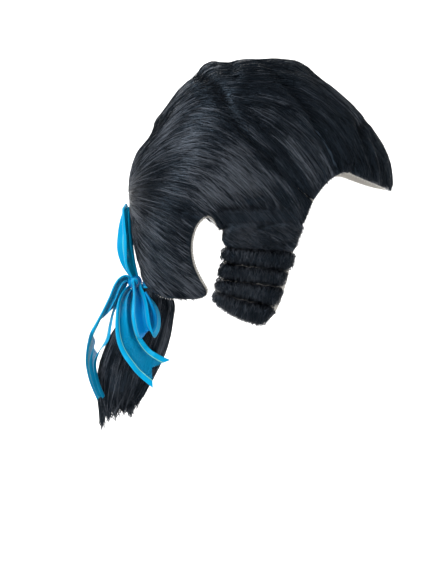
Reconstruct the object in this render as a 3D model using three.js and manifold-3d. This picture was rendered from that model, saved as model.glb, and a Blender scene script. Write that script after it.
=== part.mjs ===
// A queue wig: a knitted foundation cap that carries black hair panels, rolled curls on two
// side tabs, and a pony-tail of loose hair tied with a ribbon bow at the nape.
// Millimetres. +X is the way the wearer faces, +Y the wearer's left, +Z up.
// The origin is the top of the inside of the cap, where the head seats.

import * as THREE from 'three';
import Module from 'manifold-3d';
import { mergeVertices } from 'three/addons/utils/BufferGeometryUtils.js';

const wasm = await Module();
wasm.setup();
const { Manifold, Mesh } = wasm;

// Cap
const CAP_LENGTH = 230;
const CAP_WIDTH = 176;
const CAP_DROP = 207;
const HAIR_WALL = 5;
const BACKING_WALL = 1.5;
const GAP = 0.35;
const RIM_REVEAL = 1.8;
const PLAN_POWER = 2.3;
const FOLD_DEPTH = 3;
const FOLD_WIDTH = 7;
const TUFT_HEIGHT = 3.5;
const TUFT_RADIUS = 12;
const BACK_ARCH_WIDTH = 50;
const BACK_ARCH_DROP = 166;
const BACK_ARCH_AHEAD = -0.26;

// Side curls
const CURL_DEPTH = 9;
const CURL_STAND = 4;
const CURL_END_ROUND = 4.5;
const CURL_END_BARE = 7;
const CURL_END_STUB = 0.6;

// Queue
const QUEUE_LENGTH = 155;
const QUEUE_DEPTH = 54;
const QUEUE_WIDTH = 48;
const QUEUE_ROOT_DROP = BACK_ARCH_DROP - 1;
const LOCK_LENGTH = 62;
const LOCK_THICK = 9;
const LOCK_TIP_RADIUS = 0.35;
const LOCK_OVAL = 1.3;
const LOCK_DRAW_IN = 0.75;

// Ribbon
const RIBBON_WIDTH = 25;
const RIBBON_THICK = 1;
const BAND_HEIGHT = 10;
const BAND_GAP = 1.1;
const KNOT_DEPTH = 13;
const KNOT_WIDTH = 16;
const KNOT_HEIGHT = 13;
const KNOT_PRESS = 1;
const LOOP_RISE = 65;
const LOOP_FALL = 46;
const SIDE_TAIL_DROP = 84;
const REAR_TAIL_DROP = 108;

const HAIR_BLACK = 0x14171b;
const KNIT_PALE = 0xb9b2a4;
const RIBBON_BLUE = 0x0a8fd0;

// Drops are measured from this height down: the outside of the crown.
const CROWN_TOP = HAIR_WALL + GAP + BACKING_WALL;
const HALF_WIDTH = CAP_WIDTH / 2;

// Level sections of the cap. Drop is a share of CAP_DROP, back and front are shares of
// CAP_LENGTH, and half is a share of half the CAP_WIDTH.
const SECTIONS = [
  { drop: 0.000, back: 0.000, front: 0.000, half: 0.000 },
  { drop: 0.007, back: 0.083, front: 0.113, half: 0.295 },
  { drop: 0.025, back: 0.159, front: 0.159, half: 0.489 },
  { drop: 0.059, back: 0.227, front: 0.200, half: 0.625 },
  { drop: 0.109, back: 0.295, front: 0.253, half: 0.739 },
  { drop: 0.168, back: 0.340, front: 0.314, half: 0.818 },
  { drop: 0.244, back: 0.386, front: 0.382, half: 0.898 },
  { drop: 0.319, back: 0.426, front: 0.431, half: 0.949 },
  { drop: 0.412, back: 0.480, front: 0.477, half: 0.989 },
  { drop: 0.513, back: 0.503, front: 0.492, half: 1.000 },
  { drop: 0.614, back: 0.501, front: 0.484, half: 0.989 },
  { drop: 0.714, back: 0.492, front: 0.469, half: 0.949 },
  { drop: 0.815, back: 0.483, front: 0.454, half: 0.898 },
  { drop: 0.925, back: 0.483, front: 0.439, half: 0.852 },
  { drop: 1.034, back: 0.473, front: 0.424, half: 0.818 },
  { drop: 1.180, back: 0.460, front: 0.409, half: 0.795 },
];

// Lines of the side view: [share of CAP_LENGTH ahead of the seat, share of CAP_DROP below the crown].
const RIM_LINE = [
  [-0.640, 0.832], [-0.484, 0.849], [-0.465, 0.912], [-0.427, 0.971], [-0.367, 0.998],
  [-0.287, 1.004], [-0.238, 1.000], [-0.212, 0.979], [-0.235, 0.933], [-0.265, 0.862],
  [-0.274, 0.786], [-0.257, 0.710], [-0.223, 0.668], [-0.193, 0.668], [-0.163, 0.719],
  [-0.144, 0.683], [0.000, 0.677], [0.151, 0.672], [0.170, 0.639], [0.197, 0.584],
  [0.238, 0.525], [0.284, 0.490], [0.322, 0.483], [0.386, 0.509], [0.461, 0.538],
  [0.620, 0.590],
];
const TAB_LINE = [
  [-0.138, 0.650], [-0.142, 0.757], [-0.150, 0.849], [-0.164, 0.946], [-0.174, 1.004],
  [-0.140, 1.030], [-0.083, 1.058], [-0.015, 1.088], [0.026, 1.090], [0.061, 1.036],
  [0.091, 0.941], [0.111, 0.849], [0.127, 0.757], [0.146, 0.640],
];
const CROWN_SEAM = [
  [-0.640, -0.080], [-0.348, 0.025], [-0.246, 0.080], [-0.212, 0.101], [-0.182, 0.130],
  [-0.148, 0.185], [-0.125, 0.244], [-0.083, 0.315], [-0.023, 0.387], [0.038, 0.454],
  [0.098, 0.517], [0.148, 0.567], [0.212, 0.622], [0.314, 0.689],
];
const FRONT_SEAM = [
  [0.640, 0.000], [0.465, 0.134], [0.409, 0.227], [0.371, 0.294], [0.352, 0.361],
  [0.359, 0.420], [0.340, 0.462], [0.322, 0.513], [0.310, 0.640],
];

// Folds of the hair, as lines of the side view, each with its share of FOLD_DEPTH.
const FOLDS = [
  { depth: 1.0, line: CROWN_SEAM },
  { depth: 0.5, line: FRONT_SEAM },
  { depth: 0.9, line: [[0.000, 0.017], [0.049, 0.076], [0.102, 0.139], [0.163, 0.227],
    [0.200, 0.307], [0.246, 0.387], [0.272, 0.462]] },
  { depth: 0.9, line: [[0.363, 0.286], [0.374, 0.345], [0.393, 0.403], [0.412, 0.462]] },
  { depth: 0.9, line: [[0.412, 0.328], [0.435, 0.387], [0.446, 0.446], [0.461, 0.521]] },
  { depth: 0.7, line: [[0.023, 0.042], [0.106, 0.055], [0.174, 0.063], [0.227, 0.092]] },
  { depth: 0.35, line: [[-0.461, 0.340], [-0.424, 0.315], [-0.393, 0.282], [-0.363, 0.244]] },
  { depth: 0.6, line: [[-0.150, -0.010], [-0.134, 0.030], [-0.112, 0.080]] },
  { depth: 0.5, line: [[-0.098, 0.168], [-0.038, 0.252], [0.030, 0.345], [0.106, 0.454], [0.159, 0.546]] },
];
const TUFT = { ahead: -0.200, drop: 0.030 };

// The lines between the curls of a tab, top to bottom, from the ear side to the face side. Sag
// is how far a line hangs in its middle, a share of CAP_DROP.
const CURL_LINES = [
  { rear: [-0.146, 0.684], front: [0.152, 0.676], sag: 0.000 },
  { rear: [-0.150, 0.784], front: [0.119, 0.803], sag: 0.000 },
  { rear: [-0.156, 0.847], front: [0.108, 0.884], sag: 0.002 },
  { rear: [-0.168, 0.916], front: [0.094, 0.950], sag: 0.000 },
  { rear: [-0.180, 0.967], front: [0.072, 1.036], sag: 0.004 },
  { rear: [-0.187, 1.014], front: [0.022, 1.112], sag: 0.022 },
];

// Sections of the queue: along is a share of QUEUE_LENGTH below the root, back a share of
// CAP_LENGTH behind the seat, depth and width shares of QUEUE_DEPTH and QUEUE_WIDTH.
const QUEUE_SECTIONS = [
  { along: -0.060, back: 0.442, depth: 0.16, width: 0.36 },
  { along: 0.000, back: 0.430, depth: 0.25, width: 0.42 },
  { along: 0.090, back: 0.413, depth: 0.30, width: 0.50 },
  { along: 0.185, back: 0.402, depth: 0.35, width: 0.52 },
  { along: 0.250, back: 0.405, depth: 0.52, width: 0.68 },
  { along: 0.315, back: 0.414, depth: 0.71, width: 0.82 },
  { along: 0.395, back: 0.435, depth: 0.84, width: 0.92 },
  { along: 0.490, back: 0.461, depth: 0.97, width: 0.98 },
  { along: 0.585, back: 0.484, depth: 1.00, width: 1.00 },
  { along: 0.675, back: 0.507, depth: 0.97, width: 0.96 },
  { along: 0.760, back: 0.526, depth: 0.87, width: 0.83 },
  { along: 0.835, back: 0.545, depth: 0.62, width: 0.62 },
  { along: 0.890, back: 0.556, depth: 0.36, width: 0.34 },
];
const QUEUE_TIE = 0.185;
const QUEUE_AROUND = 18;
const QUEUE_DOWN = 15;

// Locks fused to the queue: start along it, where round it the lock lies (degrees from the
// front, towards the left), how far back its tip leans (share of LOCK_LENGTH) and its size.
const LOCKS = [
  { start: 0.62, round: 172, lean: 0.10, length: 1.00, thick: 1.0 },
  { start: 0.66, round: 205, lean: 0.16, length: 0.94, thick: 0.9 },
  { start: 0.58, round: 150, lean: 0.24, length: 0.80, thick: 0.9 },
  { start: 0.64, round: 240, lean: 0.26, length: 0.72, thick: 1.1 },
  { start: 0.62, round: 120, lean: 0.30, length: 0.70, thick: 1.1 },
  { start: 0.60, round: 290, lean: 0.34, length: 0.72, thick: 1.2 },
  { start: 0.56, round: 60, lean: 0.36, length: 0.70, thick: 1.2 },
  { start: 0.58, round: 10, lean: 0.42, length: 0.78, thick: 1.0 },
];

// Ribbon runs from the knot. Ahead, left and up are shares of the run's own reach. Turn is how
// many degrees the ribbon's width is turned from left towards ahead, tip how far its edge then
// dips, and wide a share of RIBBON_WIDTH.
const UPPER_LOOP_RUN = [
  { ahead: 0.000, left: 0.000, up: 0.050, turn: -20, tip: 0.0, wide: 0.32 },
  { ahead: -0.105, left: -0.030, up: 0.240, turn: -25, tip: 0.0, wide: 0.52 },
  { ahead: -0.140, left: -0.030, up: 0.420, turn: -28, tip: 0.0, wide: 0.74 },
  { ahead: -0.145, left: -0.020, up: 0.620, turn: -24, tip: 0.0, wide: 0.80 },
  { ahead: -0.134, left: -0.010, up: 0.840, turn: -15, tip: 0.0, wide: 0.72 },
  { ahead: -0.112, left: 0.000, up: 0.985, turn: 0, tip: 0.0, wide: 0.66 },
  { ahead: -0.104, left: 0.010, up: 0.900, turn: 6, tip: 0.0, wide: 0.70 },
  { ahead: -0.090, left: 0.020, up: 0.700, turn: 8, tip: 0.0, wide: 0.78 },
  { ahead: -0.072, left: 0.030, up: 0.480, turn: 8, tip: 0.0, wide: 0.70 },
  { ahead: -0.042, left: 0.030, up: 0.280, turn: 8, tip: 0.0, wide: 0.46 },
  { ahead: 0.000, left: 0.020, up: 0.050, turn: 0, tip: 0.0, wide: 0.32 },
];
const LOWER_LOOP_RUN = [
  { ahead: 0.030, left: -0.110, up: -0.030, turn: 70, tip: 0.0, wide: 0.28 },
  { ahead: 0.050, left: -0.300, up: -0.130, turn: 80, tip: 0.0, wide: 0.32 },
  { ahead: 0.090, left: -0.480, up: -0.270, turn: 90, tip: 0.0, wide: 0.42 },
  { ahead: 0.110, left: -0.620, up: -0.450, turn: 90, tip: 0.0, wide: 0.54 },
  { ahead: 0.120, left: -0.700, up: -0.620, turn: 90, tip: 0.0, wide: 0.60 },
  { ahead: 0.150, left: -0.735, up: -0.790, turn: 90, tip: 0.0, wide: 0.60 },
  { ahead: 0.190, left: -0.720, up: -0.910, turn: 90, tip: 0.0, wide: 0.60 },
  { ahead: 0.230, left: -0.665, up: -0.955, turn: 90, tip: 0.0, wide: 0.58 },
  { ahead: 0.280, left: -0.605, up: -0.920, turn: 90, tip: 0.0, wide: 0.58 },
  { ahead: 0.335, left: -0.575, up: -0.790, turn: 90, tip: 0.0, wide: 0.58 },
  { ahead: 0.345, left: -0.560, up: -0.610, turn: 90, tip: 0.0, wide: 0.52 },
  { ahead: 0.290, left: -0.530, up: -0.420, turn: 88, tip: 0.0, wide: 0.42 },
  { ahead: 0.180, left: -0.430, up: -0.220, turn: 80, tip: 0.0, wide: 0.30 },
];
const SIDE_TAIL_RUN = [
  { ahead: -0.020, left: -0.010, up: -0.060, turn: 60, tip: 0.0, wide: 0.30 },
  { ahead: -0.066, left: -0.100, up: -0.125, turn: 75, tip: 0.0, wide: 0.42 },
  { ahead: -0.092, left: -0.200, up: -0.220, turn: 85, tip: 0.0, wide: 0.55 },
  { ahead: -0.092, left: -0.265, up: -0.345, turn: 90, tip: 0.0, wide: 0.66 },
  { ahead: -0.080, left: -0.290, up: -0.470, turn: 90, tip: 0.0, wide: 0.76 },
  { ahead: -0.050, left: -0.305, up: -0.590, turn: 90, tip: 0.0, wide: 0.84 },
  { ahead: 0.010, left: -0.330, up: -0.700, turn: 90, tip: 0.0, wide: 0.90 },
  { ahead: 0.095, left: -0.370, up: -0.800, turn: 90, tip: 0.0, wide: 0.96 },
  { ahead: 0.195, left: -0.380, up: -0.885, turn: 90, tip: 0.0, wide: 1.00 },
  { ahead: 0.300, left: -0.385, up: -0.960, turn: 90, tip: 0.0, wide: 1.04 },
];
const REAR_TAIL_RUN = [
  { ahead: -0.020, left: 0.000, up: 0.000, turn: 50, tip: 0.8, wide: 0.30 },
  { ahead: -0.056, left: 0.000, up: 0.022, turn: 60, tip: 0.8, wide: 0.38 },
  { ahead: -0.098, left: -0.010, up: 0.006, turn: 70, tip: 0.8, wide: 0.40 },
  { ahead: -0.130, left: -0.020, up: -0.045, turn: 75, tip: 0.6, wide: 0.42 },
  { ahead: -0.160, left: -0.030, up: -0.125, turn: 80, tip: 0.4, wide: 0.42 },
  { ahead: -0.205, left: -0.045, up: -0.220, turn: 85, tip: 0.2, wide: 0.40 },
  { ahead: -0.245, left: -0.060, up: -0.331, turn: 88, tip: 0.1, wide: 0.54 },
  { ahead: -0.280, left: -0.080, up: -0.433, turn: 95, tip: 0.0, wide: 0.70 },
  { ahead: -0.325, left: -0.085, up: -0.535, turn: 115, tip: 0.0, wide: 0.60 },
  { ahead: -0.340, left: -0.100, up: -0.665, turn: 130, tip: 0.0, wide: 0.50 },
  { ahead: -0.300, left: -0.140, up: -0.794, turn: 132, tip: 0.0, wide: 0.48 },
  { ahead: -0.270, left: -0.150, up: -0.933, turn: 132, tip: 0.0, wide: 0.44 },
];

// How finely the cap is faceted, and how finely the lines of the side view are followed.
const HAIR_NET = { around: 54, down: 24 };
const CLOTH_NET = { around: 32, down: 15 };
const SLOPE_STEP = 0.02;
const RIM_STEPS = 36;
const SEAM_STEPS = 16;
const TAB_STEPS = 22;
const ARCH_SEGMENTS = 10;

// Places well outside the wig, where the side view's regions are closed.
const LEFT_OUT = -CAP_LENGTH;
const RIGHT_OUT = CAP_LENGTH;
const TOP_OUT = CAP_DROP;

const ahead = (share) => share * CAP_LENGTH;
const level = (share) => CROWN_TOP - share * CAP_DROP;

// Catmull-Rom value of a table's column at a place between its rows.
function columnAt(rows, column, place) {
  const last = rows.length - 1;
  const i = Math.min(Math.floor(place), last - 1);
  const f = place - i;
  const at = (k) => rows[Math.max(0, Math.min(last, k))][column];
  const [a, b, c, d] = [at(i - 1), at(i), at(i + 1), at(i + 2)];
  return b + 0.5 * f * (c - a + f * (2 * a - 5 * b + 4 * c - d + f * (3 * (b - c) + d - a)));
}

// The place between the rows where a rising column reaches a value.
function placeOf(rows, column, value) {
  let low = 0;
  let high = rows.length - 1;
  for (let step = 0; step < 40; step += 1) {
    const middle = (low + high) / 2;
    if (columnAt(rows, column, middle) < value) low = middle;
    else high = middle;
  }
  return (low + high) / 2;
}

// A closed solid from rings of points, each ring a closed loop, capped at both ends.
function solidFromRings(rings) {
  const around = rings[0].length;
  const centre = (ring) => ring.reduce((sum, p) => sum.add(p), new THREE.Vector3()).divideScalar(around);
  const vertices = [];
  rings.forEach((ring) => ring.forEach((p) => vertices.push(p.x, p.y, p.z)));
  vertices.push(...centre(rings[0]).toArray(), ...centre(rings[rings.length - 1]).toArray());
  const first = rings.length * around;
  const triangles = [];
  for (let r = 0; r < rings.length - 1; r += 1) {
    for (let k = 0; k < around; k += 1) {
      const next = (k + 1) % around;
      const [a, b] = [r * around + k, r * around + next];
      const [c, d] = [a + around, b + around];
      triangles.push(a, b, d, a, d, c);
    }
  }
  for (let k = 0; k < around; k += 1) {
    const next = (k + 1) % around;
    triangles.push(first, next, k);
    triangles.push(first + 1, (rings.length - 1) * around + k, (rings.length - 1) * around + next);
  }
  return facingOut(vertices, triangles);
}

// A solid from vertices and triangles, turned so that its faces point out.
function facingOut(vertices, triangles) {
  const geometry = new THREE.BufferGeometry();
  geometry.setAttribute('position', new THREE.Float32BufferAttribute(vertices, 3));
  geometry.setIndex(triangles);
  const merged = mergeVertices(geometry, 1e-4);
  const index = Uint32Array.from(merged.index.array);
  const kept = [];
  for (let i = 0; i < index.length; i += 3) {
    const [a, b, c] = [index[i], index[i + 1], index[i + 2]];
    if (a !== b && b !== c && a !== c) kept.push(a, b, c);
  }
  const build = (tris) => new Manifold(new Mesh({
    numProp: 3,
    vertProperties: merged.attributes.position.array,
    triVerts: Uint32Array.from(tris),
  }));
  const solid = build(kept);
  if (solid.volume() > 0) return solid;
  for (let i = 0; i < kept.length; i += 3) [kept[i + 1], kept[i + 2]] = [kept[i + 2], kept[i + 1]];
  return build(kept);
}

// Distance in millimetres from a point of the side view to a line of it.
function distanceToLine(x, z, line) {
  let nearest = Infinity;
  for (let i = 0; i < line.length - 1; i += 1) {
    const [ax, az] = [ahead(line[i][0]), level(line[i][1])];
    const [bx, bz] = [ahead(line[i + 1][0]), level(line[i + 1][1])];
    const [dx, dz] = [bx - ax, bz - az];
    const t = Math.max(0, Math.min(1, ((x - ax) * dx + (z - az) * dz) / (dx * dx + dz * dz)));
    nearest = Math.min(nearest, Math.hypot(x - ax - t * dx, z - az - t * dz));
  }
  return nearest;
}

// How far the folds sink the hair's surface, less how far the crown tuft lifts it.
function foldRelief(p) {
  let deepest = 0;
  FOLDS.forEach(({ depth, line }) => {
    const d = distanceToLine(p.x, p.z, line) / FOLD_WIDTH;
    deepest = Math.max(deepest, depth * FOLD_DEPTH * Math.exp(-d * d));
  });
  const away = Math.hypot(p.x - ahead(TUFT.ahead), p.z - level(TUFT.drop), p.y / 2) / TUFT_RADIUS;
  return deepest - TUFT_HEIGHT * Math.exp(-away * away);
}

// A point of the cap's outer surface: turn goes round it from the front, place down its sections.
function capPoint(turn, place) {
  const [c, s] = [Math.cos(turn), Math.sin(turn)];
  const reach = columnAt(SECTIONS, c > 0 ? 'front' : 'back', place) * CAP_LENGTH;
  const half = columnAt(SECTIONS, 'half', place) * HALF_WIDTH;
  const power = 2 / PLAN_POWER;
  return new THREE.Vector3(
    Math.sign(c) * reach * Math.abs(c) ** power,
    Math.sign(s) * half * Math.abs(s) ** power,
    level(columnAt(SECTIONS, 'drop', place)),
  );
}

// The cap as a solid dome, its surface set in by a depth along its normals.
function dome(inset, { around, down }, relief) {
  const last = SECTIONS.length - 1;
  const rings = [];
  for (let r = 1; r <= down; r += 1) {
    const place = (last * r) / down;
    const ring = [];
    for (let k = 0; k < around; k += 1) {
      const turn = ((k + 0.5) / around) * 2 * Math.PI;
      const p = capPoint(turn, place);
      const along = capPoint(turn + SLOPE_STEP, place).sub(capPoint(turn - SLOPE_STEP, place));
      const below = capPoint(turn, Math.min(last, place + SLOPE_STEP)).sub(capPoint(turn, place - SLOPE_STEP));
      const normal = along.cross(below).normalize().negate();
      const depth = inset + (relief ? foldRelief(p) : 0);
      ring.push(p.addScaledVector(normal, -depth));
    }
    rings.push(ring);
  }
  const apex = new THREE.Vector3(0, 0, CROWN_TOP - inset);
  rings.unshift(rings[0].map(() => apex.clone()));
  return solidFromRings(rings);
}

// A closed outline of the side view, in millimetres, carried across the whole width.
function crossPrism(outline) {
  const shape = new THREE.Shape(outline.map(([x, z]) => new THREE.Vector2(x, z)));
  const geometry = new THREE.ExtrudeGeometry(shape, { depth: 2 * CAP_WIDTH, bevelEnabled: false });
  geometry.rotateX(Math.PI / 2);
  geometry.translate(0, CAP_WIDTH, 0);
  return solidOf(geometry);
}

function solidOf(geometry) {
  const bare = new THREE.BufferGeometry();
  bare.setAttribute('position', geometry.getAttribute('position'));
  if (geometry.index) bare.setIndex(geometry.index);
  const merged = mergeVertices(bare, 1e-4);
  return facingOut(Array.from(merged.attributes.position.array), Array.from(merged.index.array));
}

// The largest of the separate bodies of a solid.
function largestBody(solid) {
  return solid.decompose().reduce((most, body) => (body.volume() > most.volume() ? body : most));
}

// A side-view line in millimetres, smoothed, with each point pushed to its left by a distance.
function smoothLine(line, push, steps) {
  const points = line.map(([x, z]) => new THREE.Vector3(ahead(x), level(z), 0));
  const curve = new THREE.CatmullRomCurve3(points, false, 'centripetal');
  const made = [];
  for (let i = 0; i <= steps; i += 1) {
    const p = curve.getPoint(i / steps);
    const t = curve.getTangent(i / steps);
    made.push([p.x - t.y * push, p.y + t.x * push]);
  }
  return made;
}


// The region above the rim, grown downwards by a reveal.
function aboveRim(reveal) {
  const rim = smoothLine(RIM_LINE, -reveal, RIM_STEPS);
  return crossPrism([[LEFT_OUT, TOP_OUT], [LEFT_OUT, rim[0][1]], ...rim,
    [RIGHT_OUT, rim[rim.length - 1][1]], [RIGHT_OUT, TOP_OUT]]);
}

// The region of one side tab in the side view.
function tabRegion() {
  return crossPrism(smoothLine(TAB_LINE, 0, TAB_STEPS));
}

// The region behind and below the crown seam, and the one ahead of the front seam.
function behindCrownSeam(push) {
  const seam = smoothLine(CROWN_SEAM, push, SEAM_STEPS);
  return crossPrism([...seam, [seam[seam.length - 1][0], -2 * CAP_DROP], [LEFT_OUT, -2 * CAP_DROP]]);
}

function aheadOfFrontSeam(push) {
  const seam = smoothLine(FRONT_SEAM, push, SEAM_STEPS);
  return crossPrism([...seam, [seam[seam.length - 1][0], -CAP_DROP], [RIGHT_OUT, -CAP_DROP],
    [RIGHT_OUT, seam[0][1]]]);
}

// The arch at the centre of the nape that the queue comes out of.
function backArch(shrink) {
  const radius = BACK_ARCH_WIDTH / 2 - shrink;
  const shape = new THREE.Shape();
  shape.absarc(0, 0, radius, 0, Math.PI, false);
  shape.lineTo(-radius, -CAP_DROP);
  shape.lineTo(radius, -CAP_DROP);
  const geometry = new THREE.ExtrudeGeometry(
    shape, { depth: CAP_LENGTH, bevelEnabled: false, curveSegments: ARCH_SEGMENTS });
  geometry.rotateX(Math.PI / 2);
  geometry.rotateZ(-Math.PI / 2);
  geometry.translate(ahead(BACK_ARCH_AHEAD), 0, CROWN_TOP - BACK_ARCH_DROP - BACK_ARCH_WIDTH / 2);
  return solidOf(geometry);
}

const arch = backArch(0);
const hairOuter = dome(0, HAIR_NET, true);
const hairInner = dome(HAIR_WALL, CLOTH_NET, false);
const backingOuter = dome(HAIR_WALL + GAP, CLOTH_NET, false);
const cavity = dome(HAIR_WALL + GAP + BACKING_WALL, CLOTH_NET, false);

// What the pieces hung on the cap keep clear of: the panels, and the whole wall of hair and backing.
const panelKeepOut = hairOuter.subtract(hairInner).intersect(aboveRim(GAP));
const wallKeepOut = hairOuter.subtract(dome(HAIR_WALL + 2 * GAP + BACKING_WALL, CLOTH_NET, false))
  .intersect(aboveRim(RIM_REVEAL + GAP)).subtract(backArch(GAP));

function buildBacking() {
  const region = aboveRim(RIM_REVEAL).add(tabRegion());
  return backingOuter.subtract(cavity).intersect(region).subtract(arch);
}

function buildPanels() {
  const hair = hairOuter.subtract(hairInner).intersect(aboveRim(0)).subtract(arch);
  const behind = hair.intersect(behindCrownSeam(-GAP / 2));
  const rest = hair.subtract(behindCrownSeam(GAP / 2));
  return {
    back_panel: behind,
    crown_panel: rest.subtract(aheadOfFrontSeam(-GAP / 2)),
    front_panel: rest.intersect(aheadOfFrontSeam(GAP / 2)),
  };
}

// Half the plan width of the cap at a point of the side view.
function flankY(x, z, inset) {
  const place = placeOf(SECTIONS, 'drop', (CROWN_TOP - z) / CAP_DROP);
  const reach = columnAt(SECTIONS, x > 0 ? 'front' : 'back', place) * CAP_LENGTH - inset;
  const half = columnAt(SECTIONS, 'half', place) * HALF_WIDTH - inset;
  return half * (1 - Math.min(1, Math.abs(x) / reach) ** PLAN_POWER) ** (1 / PLAN_POWER);
}

// One rolled curl between two lines of the tab, on the right side of the head or the left.
function buildCurl(row, side) {
  const [above, below] = [CURL_LINES[row], CURL_LINES[row + 1]];
  const stations = 8;
  const around = 12;
  const bare = row >= 2 ? CURL_END_BARE : 0;
  const mix = (line, f) => [
    ahead(line.rear[0] + f * (line.front[0] - line.rear[0])),
    level(line.rear[1] + f * (line.front[1] - line.rear[1]) + 4 * f * (1 - f) * line.sag),
  ];
  const run = mix(below, 1)[0] - mix(below, 0)[0];
  const rings = [];
  for (let i = 0; i <= stations; i += 1) {
    const share = 0.5 - 0.5 * Math.cos((Math.PI * i) / stations);
    const f = share * (1 - bare / run);
    const [top, bottom] = [mix(above, f), mix(below, f)];
    const x = (top[0] + bottom[0]) / 2;
    const z = (top[1] + bottom[1]) / 2;
    const fromEnd = Math.min(share, 1 - share) * run;
    const round = Math.sqrt(1 - (1 - Math.min(1, (fromEnd + CURL_END_STUB) / CURL_END_ROUND)) ** 2);
    const half = ((top[1] - bottom[1]) / 2 - GAP) * round;
    const out = CURL_DEPTH * round;
    const y = flankY(x, z, HAIR_WALL) + CURL_STAND * round;
    const ring = [];
    for (let k = 0; k < around; k += 1) {
      const turn = (k / around) * 2 * Math.PI;
      ring.push(new THREE.Vector3(x, side * (y + out * Math.cos(turn)), z + half * Math.sin(turn)));
    }
    rings.push(ring);
  }
  return solidFromRings(rings).subtract(hairInner).subtract(panelKeepOut);
}

const queueLevel = (along) => CROWN_TOP - QUEUE_ROOT_DROP - along * QUEUE_LENGTH;

// A level section of the queue, grown outwards by a distance.
function queueRing(along, grow, around) {
  const place = placeOf(QUEUE_SECTIONS, 'along', along);
  const x = -columnAt(QUEUE_SECTIONS, 'back', place) * CAP_LENGTH;
  const deep = (columnAt(QUEUE_SECTIONS, 'depth', place) * QUEUE_DEPTH) / 2 + grow;
  const wide = (columnAt(QUEUE_SECTIONS, 'width', place) * QUEUE_WIDTH) / 2 + grow;
  const ring = [];
  for (let k = 0; k < around; k += 1) {
    const turn = (k / around) * 2 * Math.PI;
    ring.push(new THREE.Vector3(x + deep * Math.cos(turn), wide * Math.sin(turn), queueLevel(along)));
  }
  return ring;
}

// A pointed lock: round where it starts in the queue, and a point at its tip.
function buildLock({ start, round, lean, length, thick }) {
  const place = placeOf(QUEUE_SECTIONS, 'along', start);
  const x = -columnAt(QUEUE_SECTIONS, 'back', place) * CAP_LENGTH;
  const turn = THREE.MathUtils.degToRad(round);
  const inward = LOCK_THICK / 2;
  const deep = (columnAt(QUEUE_SECTIONS, 'depth', place) * QUEUE_DEPTH) / 2 - inward;
  const wide = (columnAt(QUEUE_SECTIONS, 'width', place) * QUEUE_WIDTH) / 2 - inward;
  const reach = LOCK_LENGTH * length;
  const rings = [];
  const stations = 6;
  for (let i = 0; i <= stations; i += 1) {
    const f = i / stations;
    const swell = Math.sqrt(1 - f * f) * Math.min(1, 0.4 + 3 * f);
    const radius = Math.max(LOCK_TIP_RADIUS, (LOCK_THICK / 2) * thick * swell);
    const drawIn = 1 - LOCK_DRAW_IN * f * f;
    const cx = x + deep * Math.cos(turn) * drawIn - lean * reach * f * f;
    const cy = wide * Math.sin(turn) * drawIn;
    const cz = queueLevel(start) - reach * f;
    const ring = [];
    for (let k = 0; k < 8; k += 1) {
      const a = (k / 8) * 2 * Math.PI;
      ring.push(new THREE.Vector3(cx + radius * LOCK_OVAL * Math.cos(a), cy + radius * Math.sin(a), cz));
    }
    rings.push(ring);
  }
  return solidFromRings(rings);
}

function buildQueue() {
  const first = QUEUE_SECTIONS[0].along;
  const last = QUEUE_SECTIONS[QUEUE_SECTIONS.length - 1].along;
  const rings = [];
  for (let i = 0; i <= QUEUE_DOWN; i += 1) {
    rings.push(queueRing(first + ((last - first) * i) / QUEUE_DOWN, 0, QUEUE_AROUND));
  }
  let queue = solidFromRings(rings);
  LOCKS.forEach((lock) => { queue = queue.add(buildLock(lock)); });
  return largestBody(queue.subtract(wallKeepOut));
}

// The queue at the tie as a short column, grown outwards, whose height is a multiple of the band's.
function tieColumn(grow, tall) {
  const half = (tall * BAND_HEIGHT) / QUEUE_LENGTH / 2;
  return solidFromRings([-half, 0, half].map((f) => queueRing(QUEUE_TIE + f, grow, QUEUE_AROUND)));
}

function buildBand() {
  return tieColumn(BAND_GAP + RIBBON_THICK, 1).subtract(tieColumn(BAND_GAP, 1.4));
}

// The knot sits against the back of the band.
const bandBack = queueRing(QUEUE_TIE, BAND_GAP + RIBBON_THICK, QUEUE_AROUND)[QUEUE_AROUND / 2];
const knotCentre = new THREE.Vector3(bandBack.x - GAP - KNOT_DEPTH / 2 + KNOT_PRESS, 0, queueLevel(QUEUE_TIE));

function knotBall(grow) {
  const ball = new THREE.SphereGeometry(0.5, 16, 9);
  ball.scale(KNOT_DEPTH + 2 * grow, KNOT_WIDTH + 2 * grow, KNOT_HEIGHT + 2 * grow);
  ball.translate(...knotCentre.toArray());
  return solidOf(ball);
}

// What the knot and the ribbons keep clear of: the band and the hair inside it.
const bandKeepOut = tieColumn(BAND_GAP + RIBBON_THICK + GAP, 1.1);
const knotKeepOut = knotBall(GAP).add(bandKeepOut);

function buildKnot() {
  return knotBall(0).subtract(bandKeepOut);
}

// A ribbon's run from the knot, as a thin closed strip.
function buildRibbon(run, reach, steps) {
  const at = (column, place) => columnAt(run, column, place);
  const point = (place) => new THREE.Vector3(at('ahead', place), at('left', place), at('up', place))
    .multiplyScalar(reach).add(knotCentre);
  const last = run.length - 1;
  const rings = [];
  for (let i = 0; i <= steps; i += 1) {
    const place = (last * i) / steps;
    const tangent = point(Math.min(last, place + 0.1)).sub(point(Math.max(0, place - 0.1))).normalize();
    const turn = THREE.MathUtils.degToRad(at('turn', place));
    const across = new THREE.Vector3(Math.sin(turn), Math.cos(turn), -at('tip', place));
    across.addScaledVector(tangent, -across.dot(tangent)).normalize();
    const face = tangent.clone().cross(across).multiplyScalar(RIBBON_THICK / 2);
    across.multiplyScalar((at('wide', place) * RIBBON_WIDTH) / 2);
    const p = point(place);
    rings.push([[1, 1], [-1, 1], [-1, -1], [1, -1]].map(
      ([u, v]) => p.clone().addScaledVector(across, u).addScaledVector(face, v)));
  }
  return largestBody(solidFromRings(rings).subtract(knotKeepOut));
}

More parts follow.
